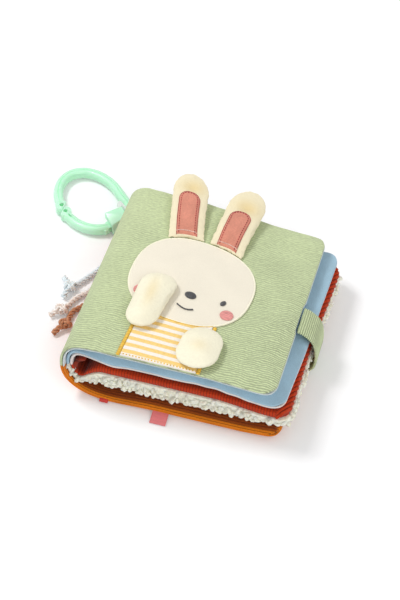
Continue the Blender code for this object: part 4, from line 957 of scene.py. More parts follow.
def plastic_finish(name, colour):
    """Moulded plastic with a soft gloss, faint flow marks and a milky depth."""
    make = Finish(name, 0.30, 0.0, 0.15)
    flow = make.noise(38.0, 3.0, 0.5, 0.8)
    grain = make.noise(900.0, 2.0, 0.5)
    make.colour(make.mixed(make.graded(flow, 0.3, 0.7), linear(shaded(colour, 0.97)),
                           linear(shaded(colour, 1.03))))
    make.shader.inputs["Subsurface Weight"].default_value = 0.35
    make.shader.inputs["Subsurface Radius"].default_value = (0.7, 1.0, 0.75)
    make.shader.inputs["Subsurface Scale"].default_value = 0.004
    make.bump(make.blended((flow, 0.5), (grain, 0.12)), 0.0004, 0.25)
    return make.material


def tape_finish(name, colour, knobs=750.0, relief=0.0005):
    """Touch-fastener tape: rows of small hooks or loops."""
    make = Finish(name, 0.75, 0.2)
    node = add(make.tree, "ShaderNodeTexVoronoi", Vector=make.place, Scale=knobs,
               Randomness=0.35)
    dots = make.graded(node.outputs["Distance"], 0.1, 0.6)
    make.colour(make.mixed(dots, linear(shaded(colour, 1.1)), linear(shaded(colour, 0.7))))
    make.bump(dots, relief, 0.9)
    return make.material


def film_finish(name):
    """Thin crackling film with sharp creases."""
    make = Finish(name, 0.28)
    node = add(make.tree, "ShaderNodeTexVoronoi", {"feature": "DISTANCE_TO_EDGE"},
               Vector=make.place, Scale=90.0)
    crease = make.graded(node.outputs["Distance"], 0.0, 0.12)
    make.colour(make.mixed(crease, (0.62, 0.64, 0.66, 1.0), (0.80, 0.82, 0.84, 1.0)))
    make.bump(crease, 0.0008, 0.9)
    return make.material


def dressed(item, material, body, slot, *nodes):
    """Gives a piece its material and its body, and hides the solids that it stands for. The
    slot is not used.
    """
    item.data.materials.clear()
    item.data.materials.append(material)
    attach(item, body)
    if nodes:
        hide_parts(*nodes)
    return item


def settings():
    """The add-on's own values on the scene."""
    scene = bpy.context.scene
    return scene.book_colours, scene.book_relief, scene.book_stage


MATERIALS = {}


def material(name, maker, *values, **more):
    """A shared material, made when it is first asked for."""
    if name not in MATERIALS:
        MATERIALS[name] = maker(name, *values, **more)
    return MATERIALS[name]


# The sizes and colours that a user would change

def tint(name, colour, description):
    """A colour property."""
    return FloatVectorProperty(name=name, description=description, subtype="COLOR_GAMMA",
                               size=3, min=0.0, max=1.0, default=colour)


def size(name, value, description):
    """A length property in metres."""
    return FloatProperty(name=name, description=description, default=value, unit="LENGTH",
                         precision=5)


class BookColours(bpy.types.PropertyGroup):
    """The colours of the book's cloths and threads."""

    green: tint("Green cover", (0.765, 0.812, 0.640), "Ribbed cotton of cover and strap")
    # Painted shade: the lining's colour is the cloth darkened for the shade inside the cover.
    orange: tint("Back cover", (0.91, 0.51, 0.08), "Corduroy outside the back cover")
    caramel: tint("Back lining", (0.57, 0.255, 0.055), "Corduroy inside the back cover")
    lining: tint("Pale lining", (0.90, 0.93, 0.94), "Cotton inside the front cover")
    blue: tint("Upper page", (0.655, 0.780, 0.850), "Velour of the upper leaf")
    underside: tint("Page underside", (0.95, 0.91, 0.89), "Cotton below the upper leaf")
    rust: tint("Lower page", (0.76, 0.225, 0.06), "Wide-wale corduroy of the lower leaf")
    sherpa: tint("Sherpa", (1.0, 0.97, 0.88), "Curly pile below the lower leaf")
    face: tint("Face", (0.950, 0.920, 0.850), "Velour of the head")
    plush: tint("Plush", (0.995, 0.970, 0.870), "Plush of ears and paws")
    salmon: tint("Inner ear", (0.87, 0.575, 0.49), "Plush patches of the ears")
    yellow: tint("Yellow stripe", (0.985, 0.83, 0.52), "Stripes of the body")
    white: tint("White stripe", (0.985, 0.96, 0.92), "Ground of the body")
    gold: tint("Gold thread", (0.98, 0.74, 0.22), "Satin stitches beside the body")
    grey: tint("Grey thread", (0.25, 0.25, 0.26), "Nose, eyes and mouth")
    cheek: tint("Cheek thread", (0.90, 0.58, 0.56), "Embroidered cheeks")
    mint: tint("Ring plastic", (0.760, 0.985, 0.835), "Plastic of the ring clip")
    pink: tint("Pink tag", (0.94, 0.50, 0.51), "Ribbon of the wide tag")
    red: tint("Red tag", (0.84, 0.20, 0.14), "Ribbon of the narrow tag")
    cord_blue: tint("Blue cord", (0.93, 0.98, 1.0), "Pale blue cord")
    cord_peach: tint("Peach cord", (1.0, 0.955, 0.92), "Peach cord")
    cord_brown: tint("Brown cord", (0.80, 0.56, 0.41), "Brown cord")


class BookRelief(bpy.types.PropertyGroup):
    """The sizes of the relief on the book's cloths."""

    wale_pitch: size("Wale pitch", 0.0044, "Distance between the rust corduroy's wales")
    back_pitch: size("Back wale pitch", 0.0019, "Distance between the back cover's wales")
    wale_height: size("Wale height", 0.0013, "Height of the rust corduroy's wales")
    lining_wale: size("Lining wale height", 0.0005, "Height of the lining's wales")
    rib_pitch: size("Strap rib pitch", 0.0016, "Distance between the strap's ribs")
    rib_height: size("Strap rib height", 0.0003, "Height of the strap's ribs")
    curl: size("Curl radius", 0.0014, "Radius of one curl of the sherpa")
    curl_spacing: size("Curl spacing", 0.0032, "Least distance between curls")
    stitch: size("Stitch length", 0.0016, "Length of one seam stitch")
    thread: size("Thread thickness", 0.00045, "Thickness of the sewing thread")
    cord_lay: size("Cord lay", 0.0105, "Length of one turn of a cord's strands")
    fill: FloatProperty(name="Plush filling", default=3.0, min=0.0, max=20.0,
                        description="Pressure of the filling in ears and paws")
    swell: size("Plush swell", 0.0007, "Most that the filling moves the plush")
    strands: IntProperty(name="Cord strands", default=3, min=2, max=5,
                         description="Strands laid together in a cord")


class BookStage(bpy.types.PropertyGroup):
    """The camera, the table and the lamps."""

    azimuth: FloatProperty(name="Azimuth", default=math.radians(16.25), subtype="ANGLE",
                           description="Turn of the camera about the book")
    elevation: FloatProperty(name="Elevation", default=math.radians(49.97),
                             subtype="ANGLE", description="Height angle of the camera")
    distance: size("Distance", 1.0969, "Distance from the camera to its target")
    target: FloatVectorProperty(name="Target", default=(-0.00206, 0.01491, 0.01875),
                                unit="LENGTH", description="Point that the camera faces")
    lens: FloatProperty(name="Lens", default=91.8, description="Focal length in mm")
    key: FloatProperty(name="Key lamp", default=11.0, unit="POWER",
                       description="Power of the lamp at the upper left")
    fill: FloatProperty(name="Fill lamp", default=9.0, unit="POWER",
                        description="Power of the lamp at the right")
    ambient: FloatProperty(name="Ambient", default=0.52,
                           description="Strength of the even light all round")


# The pieces

class BOOK_OT_stage(bpy.types.Operator):
    """Set up the camera, the white table and the soft lamps"""

    bl_idname = "book.stage"
    bl_label = "Table, Lamps and Camera"

    def execute(self, context):
        _, _, stage = settings()
        scene = context.scene
        turn, up = stage.azimuth, stage.elevation
        back = Vector((math.sin(turn) * math.cos(up), -math.cos(turn) * math.cos(up),
                       math.sin(up)))
        data = bpy.data.cameras.new("camera")
        data.lens = stage.lens
        data.sensor_width = 36.0
        data.sensor_fit = "AUTO"
        data.clip_start = 0.01
        camera = bpy.data.objects.new("camera", data)
        scene.collection.objects.link(camera)
        camera.location = Vector(stage.target) + back * stage.distance
        camera.rotation_euler = back.to_track_quat("Z", "Y").to_euler()
        scene.camera = camera
        scene.view_settings.view_transform = "Standard"
        self.table(scene)
        self.lamps(scene, stage)
        return {"FINISHED"}

    def table(self, scene):
        """The white table top."""
        half = 4.0
        corners = [(-half, -half, 0), (half, -half, 0), (half, half, 0), (-half, half, 0)]
        table = object_from("table", corners, [(0, 1, 2, 3)])
        make = Finish("white_table", 0.8)
        make.shader.inputs["Base Color"].default_value = (0.90, 0.90, 0.91, 1.0)
        tree = make.tree
        path = add(tree, "ShaderNodeLightPath")
        seen = sums(tree, "MAXIMUM", path.outputs["Is Camera Ray"],
                    sums(tree, "MAXIMUM", path.outputs["Is Glossy Ray"],
                         path.outputs["Is Transmission Ray"]))
        grain = make.noise(14.0, 2.0)
        tone = make.mixed(make.graded(grain, 0.2, 0.8), (0.89, 0.89, 0.90, 1.0),
                          (0.91, 0.91, 0.92, 1.0))
        make.colour(tone)
        x, y, _ = make.split()
        away = sums(tree, "ADD", sums(tree, "MULTIPLY", x, x), sums(tree, "MULTIPLY", y, y))
        level = make.blended((make.graded(away, 0.05, 1.2), 0.55), (1.0, 0.12))
        glow = add(tree, "ShaderNodeEmission", Color=(1.0, 1.0, 1.0, 1.0),
                   Strength=sums(tree, "MULTIPLY", seen, level))
        both = add(tree, "ShaderNodeAddShader", i0=make.shader.outputs[0],
                   i1=glow.outputs[0])
        output = tree.nodes["Material Output"]
        tree.links.new(both.outputs[0], output.inputs["Surface"])
        table.data.materials.append(make.material)

    def lamps(self, scene, stage):
        """The soft lamps and the even light of the room."""
        for name, place, width, power in (
                ("key_lamp", (-0.76, 0.14, 1.38), 0.38, stage.key),
                ("fill_lamp", (0.9, -1.0, 1.2), 1.2, stage.fill)):
            data = bpy.data.lights.new(name, "AREA")
            data.size = width
            data.energy = power
            lamp = bpy.data.objects.new(name, data)
            scene.collection.objects.link(lamp)
            lamp.location = place
            lamp.rotation_euler = Vector(place).to_track_quat("Z", "Y").to_euler()
        world = bpy.data.worlds.new("white_room")
        scene.world = world
        world.use_nodes = True
        tree = world.node_tree
        background = tree.nodes["Background"]
        background.inputs["Color"].default_value = (1.0, 1.0, 1.0, 1.0)
        path = add(tree, "ShaderNodeLightPath")
        seen = sums(tree, "MAXIMUM", path.outputs["Is Camera Ray"],
                    sums(tree, "MAXIMUM", path.outputs["Is Glossy Ray"],
                         path.outputs["Is Transmission Ray"]))
        rest = sums(tree, "MULTIPLY", sums(tree, "SUBTRACT", 1.0, seen), stage.ambient)
        tree.links.new(sums(tree, "ADD", seen, rest), background.inputs["Strength"])


class BOOK_OT_cords(bpy.types.Operator):
    """Lay the three cords with their knots and tails"""

    bl_idname = "book.cords"
    bl_label = "Knotted Cords"

    def execute(self, context):
        colours, relief, _ = settings()
        for colour_name, plan in CORDS.items():
            finish = material(f"{colour_name}_cord", cord_finish,
                              getattr(colours, f"cord_{colour_name}"),
                              0.80 if colour_name == "brown" else 0.96)
            heading = (Vector(plan["knot"]) - Vector(plan["route"][-1])).normalized()
            last = Vector(plan["knot"]) - heading * KNOT_POCKET
            route = smooth_route((*plan["route"], tuple(last)), 0.0007)
            cord = grown(line_object(f"laid_cord_{colour_name}", route), "cord",
                         Diameter=CORD_DIAMETER, Lay=relief.cord_lay,
                         Strands=relief.strands, Material=finish)
            knot = self.knot(colour_name, plan, heading, relief, finish)
            dressed(cord, finish, "base", f"{colour_name}_cord", f"cord_{colour_name}")
            dressed(knot, finish, "base", f"{colour_name}_cord", f"knot_{colour_name}")
            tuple(plan["route"][0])
        return {"FINISHED"}

    def knot(self, colour_name, plan, heading, relief, finish):
        """An overhand knot pulled tight, with its tails."""
        centre = Vector(plan["knot"])
        side = heading.cross(Vector((0, 0, 1))).normalized()
        turns = []
        for step in range(120):
            t = 2 * math.pi * step / 120
            x = (math.sin(t) + 2 * math.sin(2 * t)) / 3
            y = (math.cos(t) - 2 * math.cos(2 * t)) / 3
            z = -math.sin(3 * t)
            turns.append(centre + heading * (x * 0.0033) + side * (y * 0.0033)
                         + Vector((0, 0, z * 0.0022)))
        wound = line_object(f"wound_knot_{colour_name}", turns, closed=True)
        wound = grown(wound, "cord", Diameter=0.0042, Lay=relief.cord_lay,
                      Strands=relief.strands, Material=finish)
        tails = []
        for tail in plan["tails"]:
            end = Vector(tail)
            bend = centre.lerp(end, 0.55) + Vector((0, 0, 0.0006))
            route = smooth_route((centre, bend, end), 0.0007)
            piece = grown(line_object("tail", route), "cord", Diameter=CORD_DIAMETER,
                          Lay=relief.cord_lay, Strands=relief.strands, Material=finish)
            tails.append(piece)
        item = joined(wound, *tails)
        low = min(v.co.z for v in item.data.vertices)
        if low < GAP:
            for vertex in item.data.vertices:
                if vertex.co.z < GAP:
                    vertex.co.z = GAP
        return item


def front_spec():
    """The form of the front cover."""
    return {"side": 1, "reach": FRONT_SPINE_REACH, "rise": BOOK_THICKNESS - HINGE_HEIGHT,
            "fold_x": SPINE_X, "fore_x": FORE_X, "half_y": HALF_HEIGHT,
            "corner": CORNER_RADIUS, "roll_width": ROLL_WIDTH,
            "droop": lambda x: -FORE_DROOP * ease((x - SPINE_X - FRONT_SPINE_REACH)
                                                  / PANEL_WIDTH)}


def back_spec():
    """The form of the back cover."""
    return {"side": -1, "reach": BACK_SPINE_REACH, "rise": HINGE_HEIGHT,
            "fold_x": SPINE_X, "fore_x": FORE_X + BACK_FORE_OVERHANG,
            "half_y": HALF_HEIGHT, "corner": CORNER_RADIUS, "roll_width": ROLL_WIDTH,
            "droop": back_lift}


def cover_walls(padding):
    """Where a cover's cloth and lining lie in its thickness."""
    spine_wall = COVER_CLOTH + GAP + COVER_LINING

    def outer(full, padded):
        return COVER_ROLL * (1 - full) * padded

    def inner(full, padded):
        wall = spine_wall + (padding - spine_wall) * padded
        return wall - (padding - COVER_ROLL - spine_wall) * (1 - full) * padded

    return outer, inner


def covered(x, y):
    """1 where the animal lies on the front cover, falling to 0 around it."""
    head = 1 - ease((head_share(x, y) - 1.02) / 0.16)
    beside = np.maximum(BODY_LEFT - 0.004 - x, x - BODY_RIGHT - 0.004)
    body = (1 - ease(beside / 0.006)) * (y < 0)
    return np.maximum(head, body)


class BOOK_OT_covers(bpy.types.Operator):
    """Make the padded front and back covers with their linings"""

    bl_idname = "book.covers"
    bl_label = "Covers"

    def execute(self, context):
        colours, relief, _ = settings()
        self.front(colours)
        self.back(colours, relief)
        return {"FINISHED"}

    def front(self, colours):
        """Green ribbed cotton over wadding, lined with pale cotton."""
        outer, inner = cover_walls(FRONT_PADDED)

        def puckers(x, y, rim, face):
            free = 1 - covered(x, y)
            soft = ripple(x, y, 0.030, 11, 2.6) * 0.00042
            small = ripple(x, y, 0.0095, 5, 3.2) * 0.00020
            low = near_spot(x, y, (0.052, 0.050), (0.016, 0.022)) * -0.0017
            pulled = near_spot(x, y, (0.055, -0.004), (0.022, 0.012)) * -0.0009
            edge = np.exp(-rim / 0.006) * ripple(x, y, 0.012, 8) * 0.00030
            return (free * (soft + small + low + pulled) + edge * (free * 0.7 + 0.3)
                    + drawn_up(x, y, rim))

        cloth = folded_sheet("front_cover", 170, 150, front_spec(), outer,
                             lambda full, padded: outer(full, padded) + COVER_CLOTH,
                             relief=puckers, bulge=0.0005)
        room_for_strap(cloth, 0.0009)
        green = material("green_ribbed_cloth", crepe_finish, colours.green)
        dressed(cloth, green, "front_board", "green_ribbed_cloth", "front_cover_cloth",
                "front_cover_wadding")
        lining = folded_sheet("front_lining", 90, 80, front_spec(),
                              lambda full, padded: inner(full, padded) - COVER_LINING,
                              inner, bulge=0.0008,
                              relief=lambda x, y, rim, face: drawn_up(x, y, rim)
                              + ripple(x, y, 0.02, 3) * 0.0002)
        room_for_strap(lining, 0.0012)
        pale = material("pale_lining", weave_finish, colours.lining)
        dressed(lining, pale, "front_board", "pale_lining", "front_cover_lining")

    def back(self, colours, relief):
        """Orange corduroy outside, wadding, and caramel corduroy inside."""
        outer, inner = cover_walls(BACK_PADDED)

        def lowered(x, y, rim, face):
            return -0.6 * back_lift(x) * ease((-y - 0.020) / 0.040)

        cloth = folded_sheet("back_cover", 110, 190, back_spec(), outer,
                             lambda full, padded: outer(full, padded) + COVER_CLOTH,
                             relief=lowered, bulge=0.0005)
        lining = folded_sheet("back_lining", 100, 250, back_spec(),
                              lambda full, padded: inner(full, padded) - COVER_LINING,
                              inner, relief=lowered, bulge=0.0004)
        for item, height, in_face in ((cloth, 0.0, False), (lining, relief.lining_wale,
                                                            True)):
            ribbed(item, "across", in_face)
            self.mark_rim(item)
            name = "caramel_lining" if in_face else "caramel_corduroy"
            colour = colours.caramel if in_face else colours.orange
            # dark darkens the grooves as painted shade; the lining's brighter rim and darker
            # ground are painted light and shade.
            finish = material(name, corduroy_finish, colour, relief.back_pitch,
                              0.42 if in_face else 0.80, 1.25, tuple(colours.orange))
            grown(item, "wales", Pitch=relief.back_pitch, Height=height, Material=finish)
        dressed(cloth, MATERIALS["caramel_corduroy"], "base", "caramel_corduroy",
                "back_cover_cloth", "back_cover_wadding")
        dressed(lining, MATERIALS["caramel_lining"], "base", "caramel_lining",
                "back_cover_lining")

    def mark_rim(self, item):
        """Marks the rolled rim, where the cloth turns to the outer orange: partly its own
        colour, partly painted light against the lining's painted shade.
        """
        places = places_of(item)
        rim = np.minimum(FORE_X + BACK_FORE_OVERHANG - places[:, 0],
                         HALF_HEIGHT - np.abs(places[:, 1]))
        point_attribute(item, "rim_share", 1 - ease((rim - 0.0008) / 0.0026))


def room_for_strap(item, depth):
    """Draws a cover's fore edge in where the strap folds back against it."""
    places = places_of(item)
    x, y = places[:, 0], places[:, 1]
    beside = np.abs(y - STRAP_CENTRE_Y) - STRAP_WIDTH / 2 - 0.0005
    share = (1 - ease(beside / 0.004)) * ease((x - FORE_X + 0.009) / 0.007)
    places[:, 0] = x - depth * share
    item.data.vertices.foreach_set("co", places.ravel())
    item.data.update()


def pushed_out(item, far, near=0.0):
    """Moves a leaf's fore edge out towards its far corner and in towards its near one."""
    places = places_of(item)
    x, y = places[:, 0], places[:, 1]
    shift = far * ease((y + 0.015) / 0.085) - near * ease((-y - 0.005) / 0.070)
    places[:, 0] = x + shift * ease((x - 0.030) / 0.040)
    item.data.vertices.foreach_set("co", places.ravel())
    item.data.update()


def places_of(item):
    """The places of a piece's vertices."""
    places = np.zeros(len(item.data.vertices) * 3, np.float32)
    item.data.vertices.foreach_get("co", places)
    return places.reshape(-1, 3)


def ribbed(item, attribute, upper_only, skew=0.0):
    """Marks where the wales of a cloth run and which of its faces carry them."""
    mesh = item.data
    run = np.zeros(len(mesh.vertices), np.float32)
    mesh.attributes[attribute].data.foreach_get("value", run)
    run = run + skew * places_of(item)[:, 2]
    normals = np.zeros(len(mesh.vertices) * 3, np.float32)
    mesh.vertices.foreach_get("normal", normals)
    up = normals.reshape(-1, 3)[:, 2]
    share = np.clip(up * 2 + 0.3, 0.0, 1.0) if upper_only else np.ones(len(run))
    point_attribute(item, "wale", run)
    point_attribute(item, "wale_share", share)


def leaf_droop(amount):
    """How far a leaf sinks towards its fore edge."""
    return lambda x: -amount * ease((x - (FORE_X - DROOP_LENGTH)) / DROOP_LENGTH)


class BOOK_OT_upper_leaf(bpy.types.Operator):
    """Make the upper leaf, blue velour above and pale cotton below"""

    bl_idname = "book.upper_leaf"
    bl_label = "Upper Leaf"

    def execute(self, context):
        colours, _, _ = settings()
        padding, cloth_wall, under_wall = 0.0090, 0.0020, 0.0017
        spec = {"side": 1, "reach": 0.013, "rise": 0.0478 - HINGE_HEIGHT,
                "fold_x": LEAF_FOLD_X, "fore_x": FORE_X + 0.0088,
                "half_y": LEAF_HEIGHT / 2, "corner": CORNER_RADIUS,
                "roll_width": ROLL_WIDTH, "droop": leaf_droop(0.0062)}
        under_roll = padding - LEAF_ROLL - cloth_wall - GAP - under_wall

        def top(full, padded):
            return LEAF_ROLL * (1 - full) * padded

        def bottom(full, padded):
            wall = LEAF_ROOT_WALL + (padding - LEAF_ROOT_WALL) * padded
            return wall - under_roll * (1 - full) * padded

        def puffs(x, y, rim, face):
            gathers = np.exp(-rim / 0.008) * ripple(x, y, 0.014, 21) * 0.00040
            sag = ease((x + 0.056) / 0.014)
            dip = 0.0019 * np.exp(-((x + 0.038) / 0.009) ** 2)
            sag = (0.0022 * sag + dip) * np.exp(-rim / 0.009) * (y < 0)
            return ripple(x, y, 0.035, 22) * 0.00035 + gathers - sag

        velour = folded_sheet("upper_page", 130, 130, spec, top,
                              lambda full, padded: top(full, padded) + cloth_wall,
                              relief=puffs, bulge=0.0006)
        pushed_out(velour, 0.0018, 0.0026)
        blue = material("blue_velour", pile_finish, colours.blue, 1300.0, 0.0004, 0.25,
                        34.0, 0.90, 1.06)
        dressed(velour, blue, "upper_leaf", "blue_velour", "page_1_top")
        under = folded_sheet("upper_page_underside", 90, 90, spec,
                             lambda full, padded: bottom(full, padded) - under_wall,
                             bottom, relief=puffs, bulge=0.0005)
        pushed_out(under, 0.0018, 0.0026)
        pale = material("pale_page_cloth", weave_finish, colours.underside, 1200.0, 0.3)
        dressed(under, pale, "upper_leaf", "pale_page_cloth", "page_1_underside")
        return {"FINISHED"}


class BOOK_OT_lower_leaf(bpy.types.Operator):
    """Make the lower leaf, rust corduroy above and curly sherpa below"""

    bl_idname = "book.lower_leaf"
    bl_label = "Lower Leaf"

    def execute(self, context):
        colours, relief, _ = settings()
        padding, cloth_wall, pile, inset = 0.0205, 0.0026, 0.0135, 0.0028
        spec = {"side": -1, "reach": 0.0135, "rise": HINGE_HEIGHT - 0.0130,
                "fold_x": LEAF_FOLD_X, "fore_x": FORE_X + 0.0110,
                "half_y": LEAF_HEIGHT / 2, "corner": CORNER_RADIUS,
                "roll_width": ROLL_WIDTH, "droop": lambda x: 0.0 * x}
        upper = dict(spec)
        upper["fore_x"] = spec["fore_x"] - 0.0024
        upper["half_y"] = spec["half_y"] - inset / 2
        sink = leaf_droop(0.0052)
        upper["droop"] = sink
        thin = LEAF_ROOT_WALL / 2

        def seam(padded):
            return thin + (pile - thin) * padded

        def cloth_top(full, padded):
            level = LEAF_ROOT_WALL + (padding - LEAF_ROOT_WALL) * padded
            return level - 0.0016 * (1 - full) * padded

        def cloth_bottom(full, padded):
            rim = seam(padded) + GAP
            return rim + (cloth_top(full, padded) - cloth_wall - rim) * full * padded

        def tufts(x, y, rim, face):
            edge = np.exp(-rim / 0.010)
            ragged = ripple(x, y, 0.0085, 31) * 0.0013 * edge
            return (ragged + ripple(x, y, 0.025, 32) * 0.0006) * (0 if face else 1)

        sherpa = folded_sheet("sherpa_underside", 110, 120, spec,
                              lambda full, padded: pile / 4 * (1 - full) * padded,
                              lambda full, padded: seam(padded),
                              inner_droop=sink, relief=tufts, bulge=0.0007)
        pushed_out(sherpa, 0.0024)
        self.mark_curls(sherpa)
        fleece = material("cream_sherpa", sherpa_finish, colours.sherpa)
        grown(sherpa, "curls", Spacing=relief.curl_spacing, Curl=relief.curl,
              Yarn=relief.curl * 0.9, Material=fleece)
        dressed(sherpa, fleece, "lower_leaf", "cream_sherpa", "page_2_underside")
        # Painted shade: the ground is the rust darkened to 0.72, the rim keeps the full rust
        # as painted light, and the grooves are darkened too.
        rust = material("rust_corduroy", corduroy_finish, shaded(colours.rust, 0.72),
                        relief.wale_pitch, 0.38, 1.25, tuple(colours.rust))
        page = folded_sheet("corduroy_page", 150, 240, upper, cloth_bottom, cloth_top,
                            bulge=0.0007)
        pushed_out(page, 0.0034)
        self.run_wales(page, upper["fore_x"] - 0.0075)
        grown(page, "wales", Pitch=relief.wale_pitch, Height=relief.wale_height,
              Material=rust)
        dressed(page, rust, "lower_leaf", "rust_corduroy", "page_2_top")
        self.gutter(relief, rust)
        return {"FINISHED"}

    def run_wales(self, item, bound_from):
        """The wales run up to the near edge; along the fore edge they lie aslant."""
        places = places_of(item)
        bound = places[:, 0] > bound_from
        wales = np.where(bound, places @ np.array((-1.3, 1.0, 0.9)),
                         places[:, 0] * WALES_PER_SEGMENT)
        point_attribute(item, "wale", wales)
        point_attribute(item, "wale_share", bound.astype(float))
        # Painted light on the rim and the fore edge; the rest keeps the ground's painted
        # shade.
        rim = LEAF_HEIGHT / 2 - np.abs(places[:, 1])
        point_attribute(item, "rim_share", np.where(bound, 1.0,
                                                    1 - ease((rim - 0.0016) / 0.0034)))

    def mark_curls(self, item):
        """The curls grow on the rims and on the margin of the underside."""
        share = []
        for vertex in item.data.vertices:
            x, y, _ = vertex.co
            rim = min(FORE_X + 0.011 - x, LEAF_HEIGHT / 2 - abs(y))
            facing = 1.0 - max(0.0, vertex.normal.z)
            share.append(min(1.0, max(0.0, 1.0 - (rim - 0.010) / 0.006)) * facing)
        point_attribute(item, "curl_share", share)

    def gutter(self, relief, rust):
        """The corduroy that turns up in the gutter between the leaves."""
        thick, drop, rise, reach = 0.0018, 0.0035, 0.0105, 0.0070
        foot_x = LEAF_FOLD_X + LEAF_ROOT_WALL + GAP + thick / 2
        foot_z = HINGE_HEIGHT - drop
        route = smooth_route(((foot_x, 0, foot_z),
                              (foot_x + reach * 0.05, 0, foot_z + rise * 0.30),
                              (foot_x + reach * 0.35, 0, foot_z + rise * 0.65),
                              (foot_x + reach, 0, foot_z + rise)), 0.0006)
        item = strip("gutter_corduroy", route, (0, 1, 0), LEAF_HEIGHT - 0.0028, thick, 280)
        ribbed(item, "across", False, 0.45)
        grown(item, "wales", Pitch=relief.wale_pitch, Height=relief.lining_wale,
              Material=rust)
        dressed(item, rust, "lower_leaf", "rust_corduroy", "gutter_strip")


def strip(name, route, across, width, thickness, rows=12, profile=None, bulge=0.0003):
    """A flat strip along a route, with its width along the direction across."""
    route = np.asarray(route, float)
    side = np.asarray(Vector(across).normalized())
    ahead = np.gradient(route, axis=0)
    ahead /= np.linalg.norm(ahead, axis=1, keepdims=True)
    normal = np.cross(ahead, side)
    normal /= np.linalg.norm(normal, axis=1, keepdims=True)
    steps = np.concatenate([[0.0], np.cumsum(np.linalg.norm(np.diff(route, axis=0),
                                                            axis=1))])

    def place(u, v, face):
        position = (u + 1) / 2 * (len(route) - 1)
        index = np.arange(len(route))
        centre = np.stack([np.interp(position, index, route[:, k]) for k in range(3)], -1)
        out = np.stack([np.interp(position, index, normal[:, k]) for k in range(3)], -1)
        along = np.interp(position, index, steps)
        depth = (face - 0.5) * thickness
        if profile is not None:
            depth = depth + profile(along, v, face)
        spot = (centre + side * (v * width / 2)[..., None]
                + out * (depth * np.ones_like(u))[..., None])
        return spot[..., 0], spot[..., 1], spot[..., 2], along, v * width / 2

    return closed_sheet(name, len(route) - 1, rows, place, bulge, crowded=False)


def patch_place(centre, half, lift, thickness, tilt, dome=0.0, power=2.0):
    """Places a rounded patch on the front cover, with a softly rolled edge."""
    def place(u, v, face):
        x, y = round_corner(u, v, 1.0, 1.0, 1.0)
        near = 1 - np.hypot(x, y)
        x, y = squared(x, y, power)
        cos, sin = math.cos(tilt), math.sin(tilt)
        across, up = x * half[0], y * half[1]
        x = centre[0] + across * cos - up * sin
        y = centre[1] + across * sin + up * cos
        edge = plump(near * min(half), thickness * 1.6)
        top = thickness * (0.45 + 0.55 * edge) + dome * plump(near, 1.0)
        return x, y, cover_face(x, y) + lift + face * top, across, up
    return place


def head_outline(inset, lift, count=240):
    """A closed line that runs round the head, a little inside its edge."""
    turns = np.linspace(0, 2 * np.pi, count, endpoint=False)
    across, up = squared(np.cos(turns), np.sin(turns), HEAD_SQUARENESS)
    across, up = across * (HEAD_HALF[0] - inset), up * (HEAD_HALF[1] - inset)
    cos, sin = math.cos(HEAD_TILT), math.sin(HEAD_TILT)
    x = HEAD_CENTRE[0] + across * cos - up * sin
    y = HEAD_CENTRE[1] + across * sin + up * cos
    return np.stack([x, y, cover_face(x, y) + lift], axis=1)


def thread_section(width, height, count=10):
    """The oval section of a thread."""
    turns = np.linspace(0, 2 * np.pi, count, endpoint=False)
    return np.stack([width / 2 * np.cos(turns), height / 2 * np.sin(turns)], axis=1)


